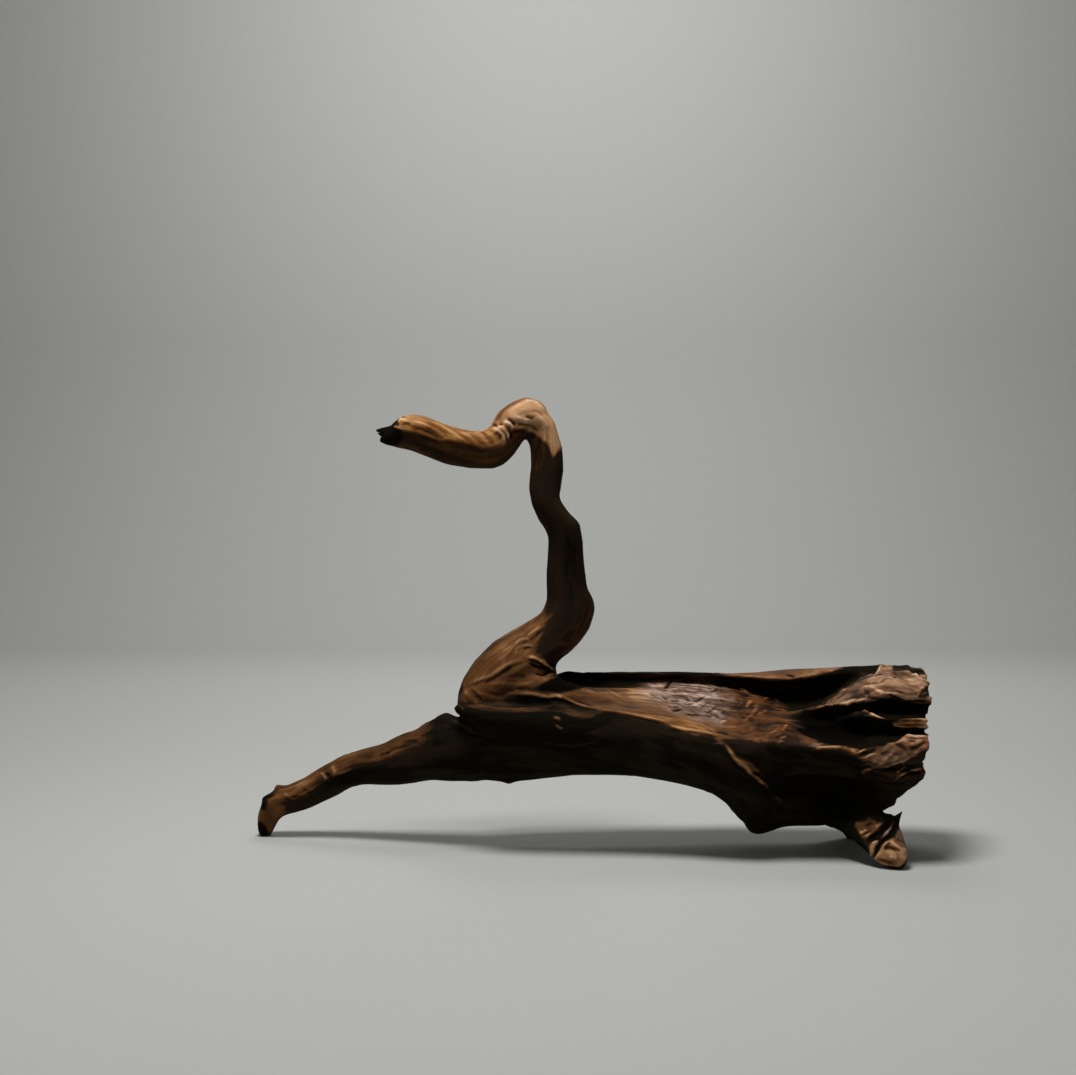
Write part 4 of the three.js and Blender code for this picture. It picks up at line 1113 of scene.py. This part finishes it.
rootWood = {
    "pitch": "#110e08",  # the darkest hollows
    "char": "#1f1911",  # sides that never rub, and sides in painted shade
    "dark": "#2a1c12",
    "mid": "#6c4627",
    "pale": "#b98f68",  # worn tops and edges
    "bleached": "#dcc7b0",  # the sharpest edges
    "rosyDark": "#684f42",
    "rosyPale": "#c6ae9f",  # bleached fibres on the floor of the hollow, and a painted sheen of gloss there
    "ruddy": "#ffe3d8",  # laid over the wood where it is redder
    "golden": "#fff2cc",  # and where it is yellower
    "shadowTint": "#a2a2a2",  # and where it lies in shadow: painted shade
    # mm across the grain, mm along it, detail and seed
    "streak": (0.9, 26.0, 4.0, 3.1),
    "band": (5.0, 90.0, 3.0, 11.7),
    "patch": (9.0, 15.0, 3.0, 7.3),
    "fleck": (2.6, 9.0, 2.0, 17.0),
    "bleach": (2.6, 9.0, 3.0, 21.0),
    "split": (3.2, 48.0, 2.0, 17.0),  # drying cracks
    "plate": (5.5, 13.0),  # mm across and along; bleached fibres lift in small plates
    "plateTurn": 50.0,  # degrees from the grain
    "sheen": "#ffe2c0",  # what wax gives back
    # how far each pattern shifts the tone
    "streakSpread": 0.07,
    "bandSpread": 0.09,
    "patchSpread": 0.12,
    "fluteDirt": 0.105,
    "chipDirt": 0.315,
    "gullyDirt": 0.315,
    "tuftDirt": 0.105,
    "creaseDirt": 0.6,
    "splitDepth": 0.3,
    "fleckDepth": 0.2,
    "plateDepth": 0.18,
    "rampScale": 0.7,  # tones run up to 1.35, and the ramp only to 1
    "stops": [(0.0, "pitch"), (0.05, "char"), (0.18, "dark"), (0.39, "mid"), (0.63, "pale"),
              (0.92, "bleached")],
}


def woodMaterial(name, roughness):
    material = bpy.data.materials.new(name)
    material.use_nodes = True
    tree = material.node_tree
    tree.nodes.clear()
    toneWithPaintedLight, creaseShade, broken, calm, gullied, tufted, bleachAndSheen = [
        addNode(tree, "ShaderNodeAttribute", {"attribute_name": name}).outputs["Fac"]
        for name in ("toneWithPaintedLight", "creaseShade", "broken", "calm", "gullied", "tufted", "bleachAndSheen")]
    streak, band, patch = [grainNoise(tree, *rootWood[name]) for name in ("streak", "band", "patch")]
    # streaks and patches show on worn wood and drown in the dark; noise keeps within 0.3 and 0.7
    tone = toneWithPaintedLight
    for pattern, spread in ((streak, "streakSpread"), (band, "bandSpread"), (patch, "patchSpread")):
        shift = addNode(tree, "ShaderNodeMapRange", {}, {
            "Value": pattern, "From Min": 0.3, "From Max": 0.7,
            "To Min": -rootWood[spread], "To Max": rootWood[spread]})
        share = addNode(tree, "ShaderNodeMapRange", {}, {
            "Value": toneWithPaintedLight, "From Min": 0.0, "From Max": 0.5, "To Min": 0.15, "To Max": calm})
        tone = addNode(tree, "ShaderNodeMath", {"operation": "MULTIPLY_ADD"}, {
            0: shift.outputs["Result"], 1: share.outputs["Result"], 2: tone}).outputs[0]
    # the low places of the relief and the creases are darkened: painted shade
    for wave, share in (("Flute", 1.0), ("Chip", broken), ("Gully", gullied), ("Tuft", tufted)):
        low = grainNoise(tree, relief[wave + " Width"], relief[wave + " Length"],
                         relief[wave + " Detail"], relief["Seed"])
        lowShade = addNode(tree, "ShaderNodeMapRange", {}, {
            "Value": low, "From Min": 0.3, "From Max": 0.55,
            "To Min": -rootWood[wave.lower() + "Dirt"], "To Max": 0.0})
        tone = addNode(tree, "ShaderNodeMath", {"operation": "MULTIPLY_ADD"}, {
            0: lowShade.outputs["Result"], 1: share, 2: tone}).outputs[0]
    tone = addNode(tree, "ShaderNodeMath", {"operation": "MULTIPLY_ADD"}, {
        0: creaseShade, 1: -rootWood["creaseDirt"], 2: tone}).outputs[0]
    # thin dark lines: drying cracks where the wood is weathered, lifted fibres where it is bleached
    for pattern, share in (("split", gullied), ("fleck", bleachAndSheen)):
        off = addNode(tree, "ShaderNodeMath", {"operation": "SUBTRACT"}, {
            0: grainNoise(tree, *rootWood[pattern]), 1: 0.5})
        off = addNode(tree, "ShaderNodeMath", {"operation": "ABSOLUTE"}, {0: off.outputs[0]})
        line = addNode(tree, "ShaderNodeMapRange", {}, {
            "Value": off.outputs[0], "From Min": 0.005, "From Max": 0.035,
            "To Min": -rootWood[pattern + "Depth"], "To Max": 0.0})
        tone = addNode(tree, "ShaderNodeMath", {"operation": "MULTIPLY_ADD"}, {
            0: line.outputs["Result"], 1: share, 2: tone}).outputs[0]
    # the bleached fibres have lifted in plates with dark edges
    place = addNode(tree, "ShaderNodeTexCoord").outputs["Object"]
    turned = addNode(tree, "ShaderNodeVectorRotate", {"rotation_type": "Z_AXIS"}, {
        "Vector": place, "Angle": math.radians(rootWood["plateTurn"])})
    scaled = addNode(tree, "ShaderNodeVectorMath", {"operation": "MULTIPLY"}, {
        0: turned.outputs[0], 1: [1 / (metresPerMm * rootWood["plate"][i]) for i in (1, 0, 0)]})
    plates = addNode(tree, "ShaderNodeTexVoronoi", {"feature": "DISTANCE_TO_EDGE"}, {
        "Vector": scaled.outputs[0], "Scale": 1.0, "Randomness": 1.0})
    edge = addNode(tree, "ShaderNodeMapRange", {}, {
        "Value": plates.outputs["Distance"], "From Min": 0.02, "From Max": 0.2,
        "To Min": -rootWood["plateDepth"], "To Max": 0.0})
    tone = addNode(tree, "ShaderNodeMath", {"operation": "MULTIPLY_ADD"}, {
        0: edge.outputs["Result"], 1: bleachAndSheen, 2: tone}).outputs[0]
    tone = addNode(tree, "ShaderNodeMath", {"operation": "MULTIPLY"}, {
        0: tone, 1: rootWood["rampScale"]}).outputs[0]
    ramp = addNode(tree, "ShaderNodeValToRGB", {}, {"Fac": tone})
    while len(ramp.color_ramp.elements) < len(rootWood["stops"]):
        ramp.color_ramp.elements.new(0.5)
    for element, (position, colour) in zip(ramp.color_ramp.elements, rootWood["stops"]):
        element.position = position
        element.color = toLinear(rootWood[colour])
    # bleached wood, with its painted sheen, is a grey pink; sockets 6 and 7 are the two colours of a colour
    # mix
    bleach = addNode(tree, "ShaderNodeMapRange", {}, {
        "Value": grainNoise(tree, *rootWood["bleach"]),
        "From Min": 0.36, "From Max": 0.6, "To Min": 0.15})
    bleached = addNode(tree, "ShaderNodeMath", {"operation": "MULTIPLY"}, {
        0: bleachAndSheen, 1: bleach.outputs["Result"]})
    paleness = addNode(tree, "ShaderNodeMapRange", {}, {"Value": tone, "From Min": 0.14, "From Max": 0.56})
    pink = addNode(tree, "ShaderNodeMix", {"data_type": "RGBA"}, {
        "Factor": paleness.outputs["Result"],
        6: toLinear(rootWood["rosyDark"]), 7: toLinear(rootWood["rosyPale"])})
    colour = addNode(tree, "ShaderNodeMix", {"data_type": "RGBA"}, {
        "Factor": bleached.outputs[0], 6: ramp.outputs["Color"], 7: pink.outputs[2]})
    for name in ("ruddy", "golden", "shadowTint"):
        amount = addNode(tree, "ShaderNodeAttribute", {"attribute_name": name})
        colour = addNode(tree, "ShaderNodeMix", {"data_type": "RGBA", "blend_type": "MULTIPLY"}, {
            "Factor": amount.outputs["Fac"], 6: colour.outputs[2], 7: toLinear(rootWood[name])})
    # rubbed wood is waxed and takes a dull light; what never rubs stays matt
    shine = addNode(tree, "ShaderNodeMapRange", {}, {
        "Value": toneWithPaintedLight, "From Min": 0.05, "From Max": 0.55, "To Min": 0.95, "To Max": roughness})
    bump = addNode(tree, "ShaderNodeBump", {}, {"Height": streak, "Strength": 0.3, "Distance": 0.0006})
    bsdf = addNode(tree, "ShaderNodeBsdfPrincipled", {}, {
        "Base Color": colour.outputs[2], "Roughness": shine.outputs["Result"], "IOR": 1.45,
        "Specular IOR Level": 0.04, "Specular Tint": toLinear(rootWood["sheen"]),
        "Normal": bump.outputs["Normal"]})
    addNode(tree, "ShaderNodeOutputMaterial", {}, {"Surface": bsdf.outputs["BSDF"]})
    return material


# Old root wood, weathered and then waxed by handling: dark with a dull sheen on the ridges.
darkWood = woodMaterial("Root wood, weathered dark and waxed", 0.42)
# The same wood where hands and water have worn it smooth along the grain.
warmWood = woodMaterial("Root wood, worn smooth and waxed", 0.45)


def reliefTree():
    tree = bpy.data.node_groups.new("Relief along the grain", "GeometryNodeTree")
    tree.interface.new_socket("Geometry", in_out="INPUT", socket_type="NodeSocketGeometry")
    tree.interface.new_socket("Geometry", in_out="OUTPUT", socket_type="NodeSocketGeometry")
    for name in relief:
        tree.interface.new_socket(name, in_out="INPUT", socket_type="NodeSocketFloat")
    tree.interface.new_socket("Material", in_out="INPUT", socket_type="NodeSocketMaterial")
    given = addNode(tree, "NodeGroupInput").outputs
    limbShare, calm, broken, gullied, tufted = [
        addNode(tree, "GeometryNodeInputNamedAttribute", {"data_type": "FLOAT"}, {"Name": name}).outputs[0]
        for name in ("limbShare", "calm", "broken", "gullied", "tufted")]

    def wave(name):
        across, along = [
            addNode(tree, "ShaderNodeMath", {"operation": "DIVIDE"}, {0: 1.0, 1: given[name + size]})
            for size in (" Width", " Length")]
        scale = addNode(tree, "ShaderNodeCombineXYZ", {}, {
            "X": across.outputs[0], "Y": across.outputs[0], "Z": along.outputs[0]})
        layers = []
        for run in ("grainStem", "grainLimb"):
            place = addNode(tree, "GeometryNodeInputNamedAttribute", {"data_type": "FLOAT_VECTOR"}, {
                "Name": run})
            scaled = addNode(tree, "ShaderNodeVectorMath", {"operation": "MULTIPLY_ADD"}, {
                0: place.outputs["Attribute"], 1: scale.outputs[0], 2: given["Seed"]})
            layers.append(addNode(tree, "ShaderNodeTexNoise", {}, {
                "Vector": scaled.outputs[0], "Scale": 1.0, "Detail": given[name + " Detail"],
                "Roughness": 0.5}))
        both = addNode(tree, "ShaderNodeMix", {"data_type": "FLOAT"}, {
            "Factor": limbShare, "A": layers[0].outputs["Fac"], "B": layers[1].outputs["Fac"]})
        centred = addNode(tree, "ShaderNodeMath", {"operation": "SUBTRACT"}, {
            0: both.outputs["Result"], 1: 0.5})
        return addNode(tree, "ShaderNodeMath", {"operation": "MULTIPLY"}, {
            0: centred.outputs[0], 1: given[name + " Height"]}).outputs[0]

    height = addNode(tree, "ShaderNodeMath", {"operation": "ADD"}, {
        0: wave("Flute"), 1: wave("Fibre")}).outputs[0]
    height = addNode(tree, "ShaderNodeMath", {"operation": "MULTIPLY"}, {0: height, 1: calm}).outputs[0]
    for name, share in (("Chip", broken), ("Gully", gullied), ("Tuft", tufted)):
        height = addNode(tree, "ShaderNodeMath", {"operation": "MULTIPLY_ADD"}, {
            0: wave(name), 1: share, 2: height}).outputs[0]
    # the noise keeps within a quarter of its middle, so it is doubled to give a wave its height
    metres = addNode(tree, "ShaderNodeMath", {"operation": "MULTIPLY"}, {0: height, 1: 2 * metresPerMm})
    outward = addNode(tree, "GeometryNodeInputNormal")
    offset = addNode(tree, "ShaderNodeVectorMath", {"operation": "SCALE"}, {
        0: outward.outputs["Normal"], "Scale": metres.outputs[0]})
    moved = addNode(tree, "GeometryNodeSetPosition", {}, {
        "Geometry": given["Geometry"], "Offset": offset.outputs[0]})
    real = addNode(tree, "GeometryNodeRealizeInstances", {}, {"Geometry": moved.outputs[0]})
    finished = addNode(tree, "GeometryNodeSetMaterial", {}, {
        "Geometry": real.outputs[0], "Material": given["Material"]})
    addNode(tree, "NodeGroupOutput", {}, {"Geometry": finished.outputs[0]})
    return tree


def withRelief(mesh):
    source = bpy.data.objects.new("relief", mesh)
    scene.collection.objects.link(source)
    modifier = source.modifiers.new("relief", "NODES")
    modifier.node_group = reliefTree()
    for item in modifier.node_group.interface.items_tree:
        if item.in_out == "INPUT" and item.name in relief:
            modifier[item.identifier] = relief[item.name]
        if item.in_out == "INPUT" and item.name == "Material":
            modifier[item.identifier] = darkWood
    made = bpy.data.meshes.new_from_object(source.evaluated_get(bpy.context.evaluated_depsgraph_get()))
    source.modifiers.clear()
    bpy.data.objects.remove(source)
    return made


grown = Surface(withRelief(wood.mesh))
giveAttribute(grown.mesh, "outward", grown.normals())
print("relief: done")


def partedAt(whole, fork):
    # cuts the skin along the fork's plane: takes the limb off what is left, and returns it
    point = Vector(fork["point"]) * metresPerMm
    normal = Vector(fork["normal"]).normalized()
    bmesh.ops.bisect_plane(whole, geom=whole.verts[:] + whole.edges[:] + whole.faces[:],
                           dist=1e-7, plane_co=point, plane_no=normal)
    limb = whole.copy()
    for half, side in ((limb, -1), (whole, 1)):
        beyond = [f for f in half.faces if (f.calc_center_median() - point).dot(normal) * side > 0]
        bmesh.ops.delete(half, geom=beyond, context="FACES")
        bmesh.ops.holes_fill(half, edges=[e for e in half.edges if e.is_boundary], sides=0)
    return limb


def addPiece(name, shape, material):
    mesh = bpy.data.meshes.new(name)
    bmesh.ops.triangulate(shape, faces=[f for f in shape.faces if len(f.verts) > 4])
    shape.to_mesh(mesh)
    shape.free()
    mesh.materials.clear()
    mesh.materials.append(material)
    mesh.shade_smooth()
    outwards = np.empty(len(mesh.vertices) * 3, np.float32)
    mesh.attributes["outward"].data.foreach_get("vector", outwards)
    mesh.normals_split_custom_set_from_vertices(unit(outwards.reshape(-1, 3)).tolist())
    mesh.attributes.remove(mesh.attributes["outward"])
    piece = bpy.data.objects.new(name + "_wood", mesh)
    scene.collection.objects.link(piece)
    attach(piece, "root")
    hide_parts(name)
    print(f"{name}: {len(mesh.polygons)} faces")


rest = bmesh.new()
rest.from_mesh(grown.mesh)
for name, fork in forks.items():
    addPiece(name, partedAt(rest, fork), warmWood)
addPiece("trunk", rest, darkWood)


studio = {
    "floor": "#adaeaa",
    "near": -3.0,  # m along Y, where the floor begins
    "far": 1.6,  # where it bends up behind the wood
    "bend": 0.6,  # radius of that bend
    "high": 3.0,
    "half": 5.0,  # half of its width
    "world": 0.13,  # strength of the light from all round
    # place, aim, size (m) and power of each light
    "lights": {
        "overhead": ((-0.12, -0.2, 1.0), (0, 0, 0.1), 0.35, 9.5),
        "wall": ((0, 0.9, 1.6), (0, 2.2, 0.7), 1.2, 22.5),
        "behind": ((0.1, 0.9, 1.2), (0, 0, 0.1), 0.5, 2.0),
    },
}


def addFloor():
    mesh = bpy.data.meshes.new("floor")
    far, bend = studio["far"], studio["bend"]
    profile = [(studio["near"], 0.0)]
    for turn in np.linspace(0, math.pi / 2, 12):
        profile.append((far + bend * math.sin(turn), bend * (1 - math.cos(turn))))
    profile.append((far + bend, studio["high"]))
    places = [(x, y, z) for y, z in profile for x in (-studio["half"], studio["half"])]
    faces = [(2 * i, 2 * i + 1, 2 * i + 3, 2 * i + 2) for i in range(len(profile) - 1)]
    mesh.from_pydata(places, [], faces)
    mesh.shade_smooth()
    floor = bpy.data.objects.new("floor", mesh)
    material = bpy.data.materials.new("Floor, matt paint")
    material.use_nodes = True
    bsdf = material.node_tree.nodes["Principled BSDF"]
    bsdf.inputs["Base Color"].default_value = toLinear(studio["floor"])
    bsdf.inputs["Roughness"].default_value = 0.8
    mesh.materials.append(material)
    scene.collection.objects.link(floor)


def addLight(name, place, aim, size, power):
    data = bpy.data.lights.new(name, "AREA")
    data.shape = "DISK"
    data.size = size
    data.energy = power
    light = bpy.data.objects.new(name, data)
    light.location = place
    light.rotation_euler = (Vector(aim) - Vector(place)).to_track_quat("-Z", "Y").to_euler()
    scene.collection.objects.link(light)


addFloor()
for name, (place, aim, size, power) in studio["lights"].items():
    addLight(name, place, aim, size, power)
scene.view_settings.view_transform = "Standard"
world = bpy.data.worlds.new("studio")
world.use_nodes = True
world.node_tree.nodes["Background"].inputs["Color"].default_value = (1, 1, 1, 1)
world.node_tree.nodes["Background"].inputs["Strength"].default_value = studio["world"]
scene.world = world
print("studio: done")
